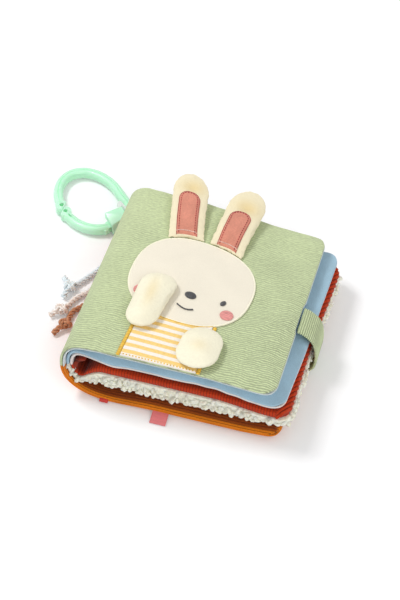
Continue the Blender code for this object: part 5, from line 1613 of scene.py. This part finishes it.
class BOOK_OT_face(bpy.types.Operator):
    """Make the head with its features and the striped body"""

    bl_idname = "book.face"
    bl_label = "Face and Body"

    def execute(self, context):
        colours, relief, _ = settings()
        cream = material("cream_velour", pile_finish, colours.face, 1250.0, 0.00025, 0.15,
                         26.0, 0.965, 1.01)
        edge = material("cream_edge_thread", pile_finish, (0.995, 0.975, 0.885), 700.0,
                        0.0001, 0.1, 40.0, 0.97, 1.0)
        head = closed_sheet("head_patch", 90, 90, patch_place(
            HEAD_CENTRE, HEAD_HALF, GAP, APPLIQUE, HEAD_TILT, power=HEAD_SQUARENESS), 0.0)
        border = swept("head_edge", head_outline(0.0006, GAP + APPLIQUE * 0.62),
                       thread_section(0.0012, 0.0009), closed=True)
        dressed(head, cream, "front_board", "cream_velour", "head")
        dressed(border, edge, "front_board", "cream_velour")
        self.features(colours)
        self.body(colours)
        return {"FINISHED"}

    def features(self, colours):
        """The embroidered nose, eyes, cheeks and mouth."""
        grey = material("grey_thread", thread_finish, colours.grey, True, 0.45)
        pink = material("pink_thread", thread_finish, colours.cheek, False, 0.6)
        on_head = GAP + APPLIQUE + GAP
        for name, node, centre, half, tilt, finish in (
                ("nose_stitches", "nose", (-0.0005, -0.0136), (0.0041, 0.0030), -8, grey),
                ("right_eye_stitches", "eye_right", (0.0226, -0.0131), (0.0017, 0.0025),
                 -25, grey),
                ("left_eye_stitches", "eye_left", (-0.0236, -0.0170), (0.0017, 0.0025),
                 20, grey),
                ("right_cheek_stitches", "cheek_right", (0.0277, -0.0227),
                 (0.0047, 0.0043), 0, pink),
                ("left_cheek_stitches", "cheek_left", (-0.0348, -0.0196),
                 (0.0047, 0.0043), 0, pink)):
            item = closed_sheet(name, 24, 24, patch_place(centre, half, on_head, FEATURE,
                                                          math.radians(tilt), 0.0003))
            slot = "grey_thread" if finish is grey else "pink_thread"
            dressed(item, finish, "front_board", slot, node)
        along = np.linspace(0, 1, 40)
        xs = -0.0072 + 0.0120 * along
        ys = -0.0220 - 0.0046 * np.sin(np.pi * (0.12 + 0.62 * along))
        route = np.stack([xs, ys, cover_face(xs, ys) + on_head + FEATURE / 2], axis=1)
        mouth = swept("mouth_stitches", route, thread_section(0.0010, 0.0008))
        dressed(mouth, grey, "front_board", "grey_thread", "mouth")

    def body(self, colours):
        """The striped jersey body between its satin-stitched sides."""
        stripe = material("striped_jersey", stripe_finish, colours.yellow, colours.white,
                          0.0057, -0.0745)
        gold = material("golden_thread", thread_finish, colours.gold, False, 0.4)

        def place(u, v, face):
            share_x, share_y = (u + 1) / 2, (v + 1) / 2
            left = BODY_LEFT + BODY_LEAN * share_y
            x = left + (BODY_RIGHT - left) * share_x
            left = BODY_LEFT + BODY_LEAN
            top = head_edge(left + (BODY_RIGHT - left) * share_x, -1) - GAP
            y = BODY_FOOT + (top - BODY_FOOT) * share_y
            puff = ripple(x, y, 0.02, 41) * 0.00012 * (1 - np.abs(u) ** 6)
            return (x, y, cover_face(x, y) + GAP + face * (APPLIQUE + puff), x, y)

        body = closed_sheet("striped_body_cloth", 50, 40, place)
        dressed(body, stripe, "front_board", "striped_jersey", "striped_body")
        for side, foot_x, lean in (("left", BODY_LEFT - GAP - 0.0013, BODY_LEAN),
                                   ("right", BODY_RIGHT + GAP + 0.0013, 0.0)):
            ends = [float(head_edge(foot_x + lean + shift, -1))
                    for shift in (-0.0013, 0.0013)]
            share = np.linspace(0, 1, 60)
            xs, ys = foot_x + lean * share, BODY_FOOT + (min(ends) - GAP - BODY_FOOT) * share
            route = np.stack([xs, ys, cover_face(xs, ys) + GAP + 0.0006], axis=1)
            trim = stitches(f"satin_side_{side}", gold, route, tree="satin",
                            spacing=0.00038, length=0.0028, thickness=0.0008)
            dressed(trim, gold, "front_board", "golden_thread", f"body_trim_{side}")
        xs = np.linspace(BODY_LEFT + BODY_LEAN, BODY_RIGHT, 60)
        ys = head_edge(xs, -1) - GAP / 2
        route = np.stack([xs, ys, cover_face(xs, ys) + GAP + APPLIQUE], axis=1)
        seam = swept("neck_seam", route, thread_section(0.0006, 0.0005))
        dressed(seam, gold, "front_board", "golden_thread")
        xs = np.linspace(BODY_LEFT, BODY_RIGHT, 90)
        ys = np.full(90, BODY_FOOT + 0.0011)
        route = np.stack([xs, ys, cover_face(xs, ys) + GAP + APPLIQUE + 0.0002], axis=1)
        row = stitches("foot_stitches", gold, route, spacing=0.0021, length=0.0012,
                       thickness=0.0010)
        dressed(row, gold, "front_board", "golden_thread")


EAR_HALF, EAR_THICKNESS, EAR_BASE = 0.0129, 0.0072, 0.0028
EAR_TIP = 0.0170
EARS = {"left": ((-0.0179, 0.0322), 0.0592, -0.0112, 0.9),
        "right": ((0.0111, 0.0280), 0.0638, 0.0056, 1.2)}
PATCH_HALF, PATCH_ARCH, PATCH_START, PATCH_END = 0.0072, 0.0069, 0.0019, 0.0409


def ear_surface(form, u, along):
    """Plan place, underside height and thickness of an ear at u across, and along it."""
    root, length, lean, power = form
    across = u * EAR_HALF
    middle = length / 2
    squeeze = EAR_HALF / EAR_TIP
    rounded, centred = round_corner(across, (along - middle) * squeeze, EAR_HALF,
                                    middle * squeeze, EAR_HALF * 0.98)
    across = np.where(along > middle, rounded, across)
    along = np.where(along > middle, centred / squeeze + middle, along)
    share = np.clip(along / length, 0.0, 1.0)
    x = root[0] + across * (1 + 0.06 * ease(share / 0.6)) + lean * share ** power
    shift = np.maximum(head_edge(x, 1) + GAP / 3 - root[1], 0.0)
    y = root[1] + along + shift * (1 - share) ** 3
    into_tip = np.maximum(along - (length - EAR_TIP), 0.0) * squeeze
    full = plump(EAR_HALF - np.hypot(across, into_tip), EAR_HALF)
    peak = EAR_BASE + (EAR_THICKNESS - EAR_BASE) * ease(share / 0.35)
    thickness = EAR_BASE / 2 + (peak - EAR_BASE / 2) * full
    floor = cover_height(x, np.minimum(y, HALF_HEIGHT)) + GAP + 0.0045 * share ** 2
    return x, y, floor + (peak - thickness) * 0.45, thickness, across, along


def mark_hollow_shade(item, base, *spots):
    """Marks the hollows and creases of a plush piece for painted shade in a deeper, warmer
    colour; base adds that colour evenly as a tint.
    """
    places = places_of(item)
    share = sum(near_spot(places[:, 0], places[:, 1], centre, reach) * amount
                for centre, reach, amount in spots)
    point_attribute(item, "warmth", np.clip(share + base, 0.0, 1.0))


class BOOK_OT_ears(bpy.types.Operator):
    """Make the two plush ears with their inner patches"""

    bl_idname = "book.ears"
    bl_label = "Ears"

    def execute(self, context):
        colours, relief, _ = settings()
        # warm mixes in the painted shade of the hollows and the ears' tint.
        plush = material("cream_plush", pile_finish, colours.plush, 620.0, 0.0008, 0.2,
                         45.0, 0.95, 1.01, warm=PLUSH_SHADE)
        salmon = material("salmon_plush", pile_finish, colours.salmon, 800.0, 0.0006, 0.3,
                          90.0, 0.88, 1.06)
        red = material("ear_thread", thread_finish, (0.70, 0.27, 0.27), True, 0.8)
        pale = material("ear_seam", thread_finish, (0.96, 0.76, 0.70), True, 0.8)
        for side, form in EARS.items():
            self.ear(side, form, relief, plush, salmon, red, pale)
        return {"FINISHED"}

    def ear(self, side, form, relief, plush, salmon, red, pale):
        """One ear: its plush, its patch and the patch's stitched edge."""
        length = form[1]

        def place(u, v, face):
            x, y, lower, thick, across, along = ear_surface(form, u, length * (v + 1) / 2)
            hollow = 0.0020 * near_spot(u, along, (0.05, PATCH_END + 0.0055), (0.50, 0.0048))
            hollow = hollow + 0.0007 * np.exp(-(u / 0.45) ** 2) * ease(
                (along - 0.006) / 0.018) * (1 - ease((along - PATCH_END) / 0.012))
            thick = np.maximum(thick * 0.94 - hollow * plump(1 - np.abs(u), 0.6), 0.0009)
            return x, y, lower + 0.0002 + face * thick

        ear = closed_sheet(f"plush_ear_{side}", 40, 70, place)
        swollen(ear, 0.0011, relief.fill, relief.swell)
        x, y = ear_surface(form, np.array(0.1), np.array(PATCH_END + 0.0050))[:2]
        # Painted shade in the hollow above the patch; the even base is the ears' darker tint.
        mark_hollow_shade(ear, 0.3, ((float(x), float(y)), (0.0085, 0.0066), 0.50))
        top = height_over(ear)
        half_length = (PATCH_END - PATCH_START) / 2
        middle = (PATCH_END + PATCH_START) / 2

        def patch(u, v, face, inset=0.0):
            half, tall = PATCH_HALF - inset, half_length - inset
            across, along = u * half, v * tall
            rounded, arched = round_corner(across, along, half, tall, PATCH_ARCH - inset)
            across = np.where(along > 0, rounded, across)
            along = np.where(along > 0, arched, along)
            x, y, lower, thick, _, _ = ear_surface(form, across / EAR_HALF, middle + along)
            level = top(x, y, lower + thick)
            rim = PATCH_HALF - np.hypot(across, np.maximum(
                along - half_length + PATCH_HALF, 0.0))
            rim = np.minimum(rim, along + half_length)
            return (x, y, level - 0.0002 + face * (0.0004 + 0.0009 * plump(rim, 0.0022)),
                    across, along)

        inner = closed_sheet(f"ear_lining_{side}", 26, 50, patch)
        body = f"{side}_ear"
        dressed(ear, plush, body, "cream_plush", f"ear_{side}")
        dressed(inner, salmon, body, "salmon_plush", f"ear_{side}_patch")
        sides = np.linspace(-1, 1, 70)
        edge_u = np.concatenate([np.full(70, -1.0), sides[1:], np.full(69, 1.0)])
        edge_v = np.concatenate([sides, np.full(69, 1.0), sides[::-1][1:]])
        for label, us, vs, inset, finish, spacing, long, thick in (
                ("edge", edge_u, edge_v, 0.0001, red, 0.0009, 0.0014, 0.00055),
                ("stitches", edge_u, edge_v, 0.0016, red, 0.0020, 0.0016, 0.00070),
                ("seam", sides * 0.98, np.full(70, -0.86), 0.0, pale, 0.0009, 0.0016,
                 0.0008)):
            x, y, z, _, _ = patch(us, vs, 1, inset)
            route = np.stack([x, y, z + 0.00012], axis=1)
            rows = stitches(f"ear_{label}_{side}", finish, route, spacing=spacing,
                            length=long, thickness=thick)
            dressed(rows, finish, body, "salmon_plush")


# The colour of the painted shade in the plush's hollows, also the ears' even tint.
PLUSH_SHADE = (0.90, 0.80, 0.56)
PAWS = {
    "left": ((-0.0267, -0.0535), 0.0490, 0.0123, 0.0045, 0.20, 1,
             3 * GAP + APPLIQUE + FEATURE),
    "right": ((0.0198, -0.0405), 0.0355, 0.0145, -0.0016, 0.02, -1, 2 * GAP + 0.0014),
}


class BOOK_OT_paws(bpy.types.Operator):
    """Make the two plush paws"""

    bl_idname = "book.paws"
    bl_label = "Paws"

    def execute(self, context):
        colours, relief, _ = settings()
        plush = MATERIALS["cream_plush"]
        for side, (root, length, half, lean, spread, way, seat) in PAWS.items():
            def place(u, v, face):
                across, along = round_corner(u * half, v * length / 2, half, length / 2,
                                             half * 0.92)
                share = along / length + 0.5
                x = root[0] + across * (1 + spread * (share - 0.5)) + lean * share
                y = root[1] + way * share * length
                full = plump(rim_distance(across, along, half, length / 2, half * 0.92),
                             half)
                thick = 0.0016 + (0.0095 - 0.0016) * full
                floor = cover_height(x, np.maximum(y, -HALF_HEIGHT)) + seat
                lower = floor + (0.0095 - thick) * 0.22
                crease = 0.0011 * np.exp(-((across + 0.001) / 0.0022) ** 2)
                crease = crease * (side == "left") * ease((share - 0.12) / 0.3)
                return x, y, lower + 0.0002 + face * (thick * 0.95 - crease * full)

            paw = closed_sheet(f"plush_paw_{side}", 40, 56, place)
            swollen(paw, 0.0011, relief.fill, relief.swell)
            middle = (root[0] + lean / 2, root[1] + way * length * 0.56)
            reach = (0.0042, 0.0130) if side == "left" else (0.0060, 0.0050)
            # Painted shade along the left paw's crease and in a spot on the right paw.
            mark_hollow_shade(paw, 0.0, (middle, reach, 0.45 if side == "left" else 0.30))
            dressed(paw, plush, f"{side}_paw", "cream_plush", f"paw_{side}")
        return {"FINISHED"}


def strap_route():
    """The middle line of the strap, from the cover's fore edge round to its underside."""
    root_x = FORE_X + GAP + STRAP_THICKNESS / 2
    root_z = float(cover_height(FORE_X, STRAP_CENTRE_Y)) - 0.0052
    bulge = 0.0150
    rim_x = FORE_X + BACK_FORE_OVERHANG
    end_x = rim_x - STRAP_END_REACH
    under = STRAP_THICKNESS / 2 + 4 * GAP + 2 * 0.0006
    tucked = []
    for step in range(5):
        x = rim_x + (end_x - rim_x) * step / 4
        z = float(back_under(x, STRAP_CENTRE_Y)) - under
        tucked.append((x, max(z, STRAP_THICKNESS / 2 + GAP)))
    points = ((root_x, root_z), (root_x + bulge * 0.34, root_z * 0.95),
              (FORE_X + bulge * 0.82, root_z * 0.80), (FORE_X + bulge, root_z * 0.52),
              (FORE_X + bulge * 0.95, root_z * 0.24),
              (rim_x + bulge * 0.34, tucked[0][1] * 1.1), *tucked)
    return [(x, STRAP_CENTRE_Y, z) for x, z in points]


class BOOK_OT_strap(bpy.types.Operator):
    """Make the ribbed closing strap with its touch fastener"""

    bl_idname = "book.strap"
    bl_label = "Closing Strap"

    def execute(self, context):
        colours, relief, _ = settings()
        green = material("green_strap_cloth", crepe_finish, colours.green, strap=True)
        route = smooth_route(strap_route(), 0.0004)
        strap = strip("strap_cloth", route, (0, 1, 0), STRAP_WIDTH, STRAP_THICKNESS, 30)
        ribbed(strap, "along", False)
        grown(strap, "wales", Pitch=relief.rib_pitch, Height=relief.rib_height,
              Material=green)
        dressed(strap, green, "strap", "green_ribbed_cloth", "closure_strap")
        end_x = FORE_X + BACK_FORE_OVERHANG - STRAP_END_REACH
        hook = material("hook_tape", tape_finish, (0.70, 0.76, 0.60))
        loop = material("loop_tape", tape_finish, (0.72, 0.45, 0.22), 600.0)
        for name, node, top, finish, body, slot in (
                ("hook_fastener", "hook_patch", 2 * GAP + 0.0006, hook, "strap",
                 "hook_tape"),
                ("loop_fastener", "loop_patch", GAP, loop, "base", "loop_tape")):
            def place(u, v, face):
                x = end_x + GAP + 0.0055 * (u + 1) / 2
                y = STRAP_CENTRE_Y + v * (STRAP_WIDTH / 2 - 0.0020)
                return x, y, back_under(x, y) - top - (1 - face) * 0.0006
            item = closed_sheet(name, 12, 30, place)
            dressed(item, finish, body, slot, node)
        return {"FINISHED"}


class BOOK_OT_tags(bpy.types.Operator):
    """Make the two blank ribbon tags and the ribbon loop of the ring"""

    bl_idname = "book.tags"
    bl_label = "Ribbons"

    def execute(self, context):
        colours, _, _ = settings()
        pink = material("pink_ribbon", weave_finish, colours.pink, 1800.0, 0.3, 0.86, 0.45)
        red = material("red_ribbon", weave_finish, colours.red, 1800.0, 0.3, 0.86, 0.45)
        thick, top = 0.0010, 0.0030
        drop = top - thick / 2 - GAP
        for name, node, x0, width, length, fall, finish, slot in (
                ("pink_ribbon_tag", "pink_tag", -0.0034, 0.0112, 0.0088, drop, pink,
                 "pink_ribbon"),
                ("red_ribbon_tag", "red_tag", -0.0445, 0.0060, 0.0020, drop / 2, red,
                 "red_ribbon")):
            def place(u, v, face):
                out = (1 - v) / 2
                fold = thick * (0.80 + 0.35 * np.sin(np.pi * np.clip(out, 0, 1)) ** 2)
                return (x0 + u * width / 2, -HALF_HEIGHT - GAP - out * length,
                        top - fall * out + (face - 0.5) * fold
                        + 0.0001 * np.sin(u * 7.0) * out, u * width / 2, out * length)
            item = closed_sheet(name, 20, 24, place, 0.0002)
            dressed(item, finish, "base", slot, node)
        self.ring_loop(colours)
        return {"FINISHED"}

    def ring_loop(self, colours):
        """The ribbon from the head of the spine, down round the ring's bar."""
        width, thick, clear = 0.0060, 0.0005, 0.0026
        seat = math.radians(80)
        bar = ring_to_world(shoulder_point(seat))
        root = Vector((SPINE_X + 0.0012, HALF_HEIGHT + 0.0037, 0.0270))
        centre = Vector((bar.x, bar.y, RING_LIFT + RING_BAR[1] / 2))
        ahead = ring_to_world(shoulder_point(seat + math.radians(1)))
        across = Vector((ahead.x - bar.x, ahead.y - bar.y, 0)).normalized()
        flat = across.cross(Vector((0, 0, 1)))
        if flat.dot(root - centre) > 0:
            flat.negate()
        half_wide = RING_BAR[0] / 2 + clear + thick
        half_tall = RING_BAR[1] / 2 + clear + thick
        low = apart = thick / 2 + GAP / 2
        rise = Vector((0, 0, half_tall * 0.75))
        foot = Vector((centre.x, centre.y, low))
        points = (root + flat * apart,
                  root.lerp(centre, 0.45) + flat * (apart + half_wide * 0.45),
                  centre + flat * half_wide * 0.85 + rise,
                  centre + flat * half_wide * 1.15,
                  foot + flat * half_wide * 0.6, foot - flat * half_wide * 0.6,
                  centre - flat * half_wide * 1.15,
                  centre - flat * half_wide * 0.85 + rise,
                  root.lerp(centre, 0.45) - flat * (apart + half_wide * 0.45),
                  root - flat * apart)
        route = smooth_route(points, 0.0006)
        item = strip("ring_ribbon", route, across, width, thick, 14, bulge=0.0001)
        pale = material("pale_ribbon", weave_finish, (0.99, 0.99, 0.98), 1800.0, 0.3, 0.97,
                        0.5)
        dressed(item, pale, "base", "pale_lining", "ring_loop")


def ring_point(angle):
    """A point of the ring's oval middle line in the ring's own plane."""
    length = RING_FRONT if math.cos(angle) > 0 else RING_BACK
    return Vector((length * math.cos(angle), RING_HALF_WIDTH * math.sin(angle)))


def shoulder_point(angle):
    """A point of the shoulder, where the frame's straight stretch turns to the block."""
    return Vector((RING_STRAIGHT + RING_SHOULDER * math.cos(angle),
                   RING_HALF_WIDTH - RING_SHOULDER * (1 - math.sin(angle))))


def ring_to_world(point):
    """Moves a point from the ring's own plane to the table."""
    turned = Matrix.Rotation(RING_TURN, 2) @ Vector(point)
    return Vector((RING_CENTRE[0] + turned.x, RING_CENTRE[1] + turned.y))


def turned_solid(name, radius, depth, place, height, segments=48):
    """An upright cylinder in the ring's own plane."""
    bm = bmesh.new()
    bmesh.ops.create_cone(bm, cap_ends=True, segments=segments, radius1=radius,
                          radius2=radius, depth=depth,
                          matrix=Matrix.Translation((place[0], place[1], height)))
    mesh = bpy.data.meshes.new(name)
    bm.to_mesh(mesh)
    bm.free()
    item = bpy.data.objects.new(name, mesh)
    bpy.context.scene.collection.objects.link(item)
    return item


def block_solid(name, sizes, place, height, turn=0.0, nose=0.0, drop=0.0, edge=0.0):
    """A block in the ring's own plane, with a leaning nose and a lowered corner."""
    bm = bmesh.new()
    bmesh.ops.create_cube(bm, size=1)
    bmesh.ops.scale(bm, vec=Vector(sizes), verts=bm.verts)
    if nose:
        top = {(v.co.x > 0, v.co.y > 0): v for v in bm.verts if v.co.z > 0}
        bmesh.ops.connect_verts(bm, verts=[top[False, False], top[True, True]])
        top[True, True].co.x -= nose
        top[True, False].co.x -= nose * (sizes[2] - drop) / sizes[2]
        top[True, False].co.z -= drop
    if edge:
        bmesh.ops.bevel(bm, geom=list(bm.edges), offset=edge, segments=4, profile=0.5,
                        affect="EDGES")
    spin = Matrix.Translation((place[0], place[1], height)) @ Matrix.Rotation(turn, 4, "Z")
    bmesh.ops.transform(bm, matrix=spin, verts=bm.verts)
    mesh = bpy.data.meshes.new(name)
    bm.to_mesh(mesh)
    bm.free()
    item = bpy.data.objects.new(name, mesh)
    bpy.context.scene.collection.objects.link(item)
    return item


def shaped(item, operation, *tools):
    """Joins tools to a piece, or cuts them from it, and removes them."""
    for tool in tools:
        modifier = item.modifiers.new(tool.name, "BOOLEAN")
        modifier.operation = operation
        modifier.object = tool
        modifier.solver = "EXACT"
    depsgraph = bpy.context.evaluated_depsgraph_get()
    depsgraph.update()
    item_mesh = bpy.data.meshes.new_from_object(item.evaluated_get(depsgraph))
    item.modifiers.clear()
    item.data = item_mesh
    for tool in tools:
        bpy.data.objects.remove(tool)
    return item


class BOOK_OT_ring(bpy.types.Operator):
    """Make the plastic ring clip: the frame, the gate and the hinge pin"""

    bl_idname = "book.ring"
    bl_label = "Ring Clip"

    def execute(self, context):
        colours, _, _ = settings()
        mint = material("mint_plastic", plastic_finish, colours.mint)
        stop, gate_start, gate_stop = (math.radians(turn) for turn in (266.9, 269.1, 357))
        middle, setback = RING_BAR[1] / 2, math.radians(5.2)
        block, block_at, block_height = (0.0146, 0.0144), (0.0296, 0.0080), 0.0120
        pin_at, pin_radius, overrun = Vector((0.0289, 0.0052)), 0.0014, 0.002
        pin_top, eye_radius, eye_height, eye_depth = 0.0088, 0.0047, 0.0070, 0.0034
        frame_eye, gate_eye = ring_point(stop - setback), ring_point(gate_start + setback)
        eye_floor = middle + eye_height / 2 - eye_depth
        split = ring_point((stop + gate_start) / 2)
        toward_pin = (pin_at - split).normalized()
        split_turn = math.atan2(toward_pin.y, toward_pin.x) - math.pi / 2
        split_width = 3 * overrun
        shift = split_width / 2 - GAP

        def eye_tools(name, at):
            hole = eye_depth + overrun
            return (turned_solid(name, eye_radius, eye_height, at, middle),
                    turned_solid(f"{name}_hole", 0.0017, hole, at, eye_floor + hole / 2,
                                 32))

        def split_cut(name, side):
            return block_solid(name, (RING_BAR[0] * 2, split_width, block_height),
                               split + toward_pin * shift * side, block_height / 2,
                               split_turn)

        quarter = math.pi / 2
        straight = [Vector((RING_STRAIGHT * (1 - step / 10), RING_HALF_WIDTH))
                    for step in range(10)]
        bar = self.bar("ring_clip_frame", [
            *(shoulder_point(turn) for turn in np.linspace(0, quarter, 24)[:-1]), *straight,
            *(ring_point(turn) for turn in np.linspace(quarter, stop, 90))])
        eye, hole = eye_tools("frame_eye", frame_eye)
        shaped(bar, "UNION",
               block_solid("block", (*block, block_height), block_at, block_height / 2,
                           0.0, 0.0040, 0.0036, 0.0008), eye)
        clevis, bore = block[0] + overrun, pin_top + GAP + overrun
        shaped(bar, "DIFFERENCE",
               block_solid("clevis", (clevis, clevis, 0.0048 + 2 * GAP),
                           (pin_at.x + 0.0046 - clevis / 2, pin_at.y + 0.0046 - clevis / 2),
                           middle),
               hole, turned_solid("pin_hole", pin_radius + GAP, bore, pin_at,
                                  bore / 2 - overrun, 32), split_cut("split", 1))
        gate = self.bar("ring_clip_gate", [ring_point(turn) for turn in
                                           np.linspace(gate_start, gate_stop, 50)])
        tip = ring_point(gate_stop)
        toward = pin_at - tip
        tongue_root = tip - toward.normalized() * 0.0050
        slot_turn = math.radians(286)
        slot_at = ring_point(slot_turn)
        ahead = ring_point(slot_turn + math.radians(1)) - slot_at
        eye, hole = eye_tools("gate_eye", gate_eye)
        shaped(gate, "UNION",
               block_solid("tongue", ((pin_at - tongue_root).length, 0.0050, 0.0048),
                           (tongue_root + pin_at) / 2, middle,
                           math.atan2(toward.y, toward.x)),
               turned_solid("knuckle", 0.0037, 0.0048, pin_at, middle), eye)
        shaped(gate, "DIFFERENCE", hole,
               turned_solid("gate_pin_hole", pin_radius + GAP, block_height * 2, pin_at,
                            block_height / 2, 32),
               block_solid("slot", (0.0030, 0.0012, 0.0040), slot_at, RING_BAR[1],
                           math.atan2(ahead.y, ahead.x)), split_cut("gate_split", -1))
        pin_length = pin_top - 0.0008
        pin = turned_solid("ring_clip_pin", pin_radius, pin_length, pin_at,
                           0.0008 + pin_length / 2)
        for item, body, node in ((bar, "ring", "ring_frame"), (gate, "gate", "ring_gate"),
                                 (pin, "ring", "gate_pin")):
            lay = (Matrix.Translation((*RING_CENTRE, RING_LIFT))
                   @ Matrix.Rotation(RING_TURN, 4, "Z"))
            item.data.transform(lay)
            bm = bmesh.new()
            bm.from_mesh(item.data)
            bmesh.ops.remove_doubles(bm, verts=bm.verts, dist=GAP / 30)
            bmesh.ops.dissolve_degenerate(bm, edges=bm.edges, dist=GAP / 30)
            bm.to_mesh(item.data)
            bm.free()
            item.data.shade_smooth()
            item.data.set_sharp_from_angle(angle=math.radians(32))
            dressed(item, mint, body, "mint_plastic", node)
        return {"FINISHED"}

    def bar(self, name, route):
        """A stretch of the ring's bar, an upright oval with a groove along its crown."""
        section = []
        steps = 44
        half_wide, half_tall = RING_BAR[0] / 2, RING_BAR[1] / 2
        groove_wide, groove_deep = 0.00055, 0.0007
        for step in range(steps):
            angle = math.pi / 2 + 2 * math.pi * (step + 0.5) / steps
            x, z = squared(math.cos(angle), math.sin(angle), RING_SQUARENESS)
            if z < 0 or abs(x * half_wide) > groove_wide * 1.6:
                section.append((x * half_wide, z * half_tall))
        section.append((groove_wide, half_tall * 0.985))
        section.append((0.0, half_tall - groove_deep))
        section.append((-groove_wide, half_tall * 0.985))
        return swept(name, [(*place, half_tall) for place in route], section)


class BOOK_OT_films(bpy.types.Operator):
    """Give the crackling film inside each leaf its finish"""

    bl_idname = "book.films"
    bl_label = "Crinkle Film"

    def execute(self, context):
        film = material("crinkle_film", film_finish)
        for name in ("page_1_film", "page_2_film"):
            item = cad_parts[name]
            item.data.materials.clear()
            item.data.materials.append(film)
        return {"FINISHED"}


STEPS = (BOOK_OT_stage, BOOK_OT_cords, BOOK_OT_covers, BOOK_OT_upper_leaf,
         BOOK_OT_lower_leaf, BOOK_OT_films, BOOK_OT_face, BOOK_OT_ears, BOOK_OT_paws,
         BOOK_OT_strap, BOOK_OT_tags, BOOK_OT_ring)


class BOOK_PT_pieces(bpy.types.Panel):
    """The book's pieces and their values"""

    bl_label = "Crinkle Cloth Book"
    bl_idname = "BOOK_PT_pieces"
    bl_space_type = "VIEW_3D"
    bl_region_type = "UI"
    bl_category = "Cloth Book"

    def draw(self, context):
        layout = self.layout
        for step in STEPS:
            layout.operator(step.bl_idname)
        for group in settings():
            box = layout.box()
            for name in group.__annotations__:
                box.prop(group, name)


CLASSES = (BookColours, BookRelief, BookStage, *STEPS, BOOK_PT_pieces)


def register():
    for item in CLASSES:
        bpy.utils.register_class(item)
    bpy.types.Scene.book_colours = PointerProperty(type=BookColours)
    bpy.types.Scene.book_relief = PointerProperty(type=BookRelief)
    bpy.types.Scene.book_stage = PointerProperty(type=BookStage)


def unregister():
    for name in ("book_colours", "book_relief", "book_stage"):
        delattr(bpy.types.Scene, name)
    for item in reversed(CLASSES):
        bpy.utils.unregister_class(item)


def main():
    """Builds every piece in order."""
    register()
    for step in STEPS:
        group, name = step.bl_idname.split(".")
        getattr(getattr(bpy.ops, group), name)()


if __name__ == "__main__":
    main()
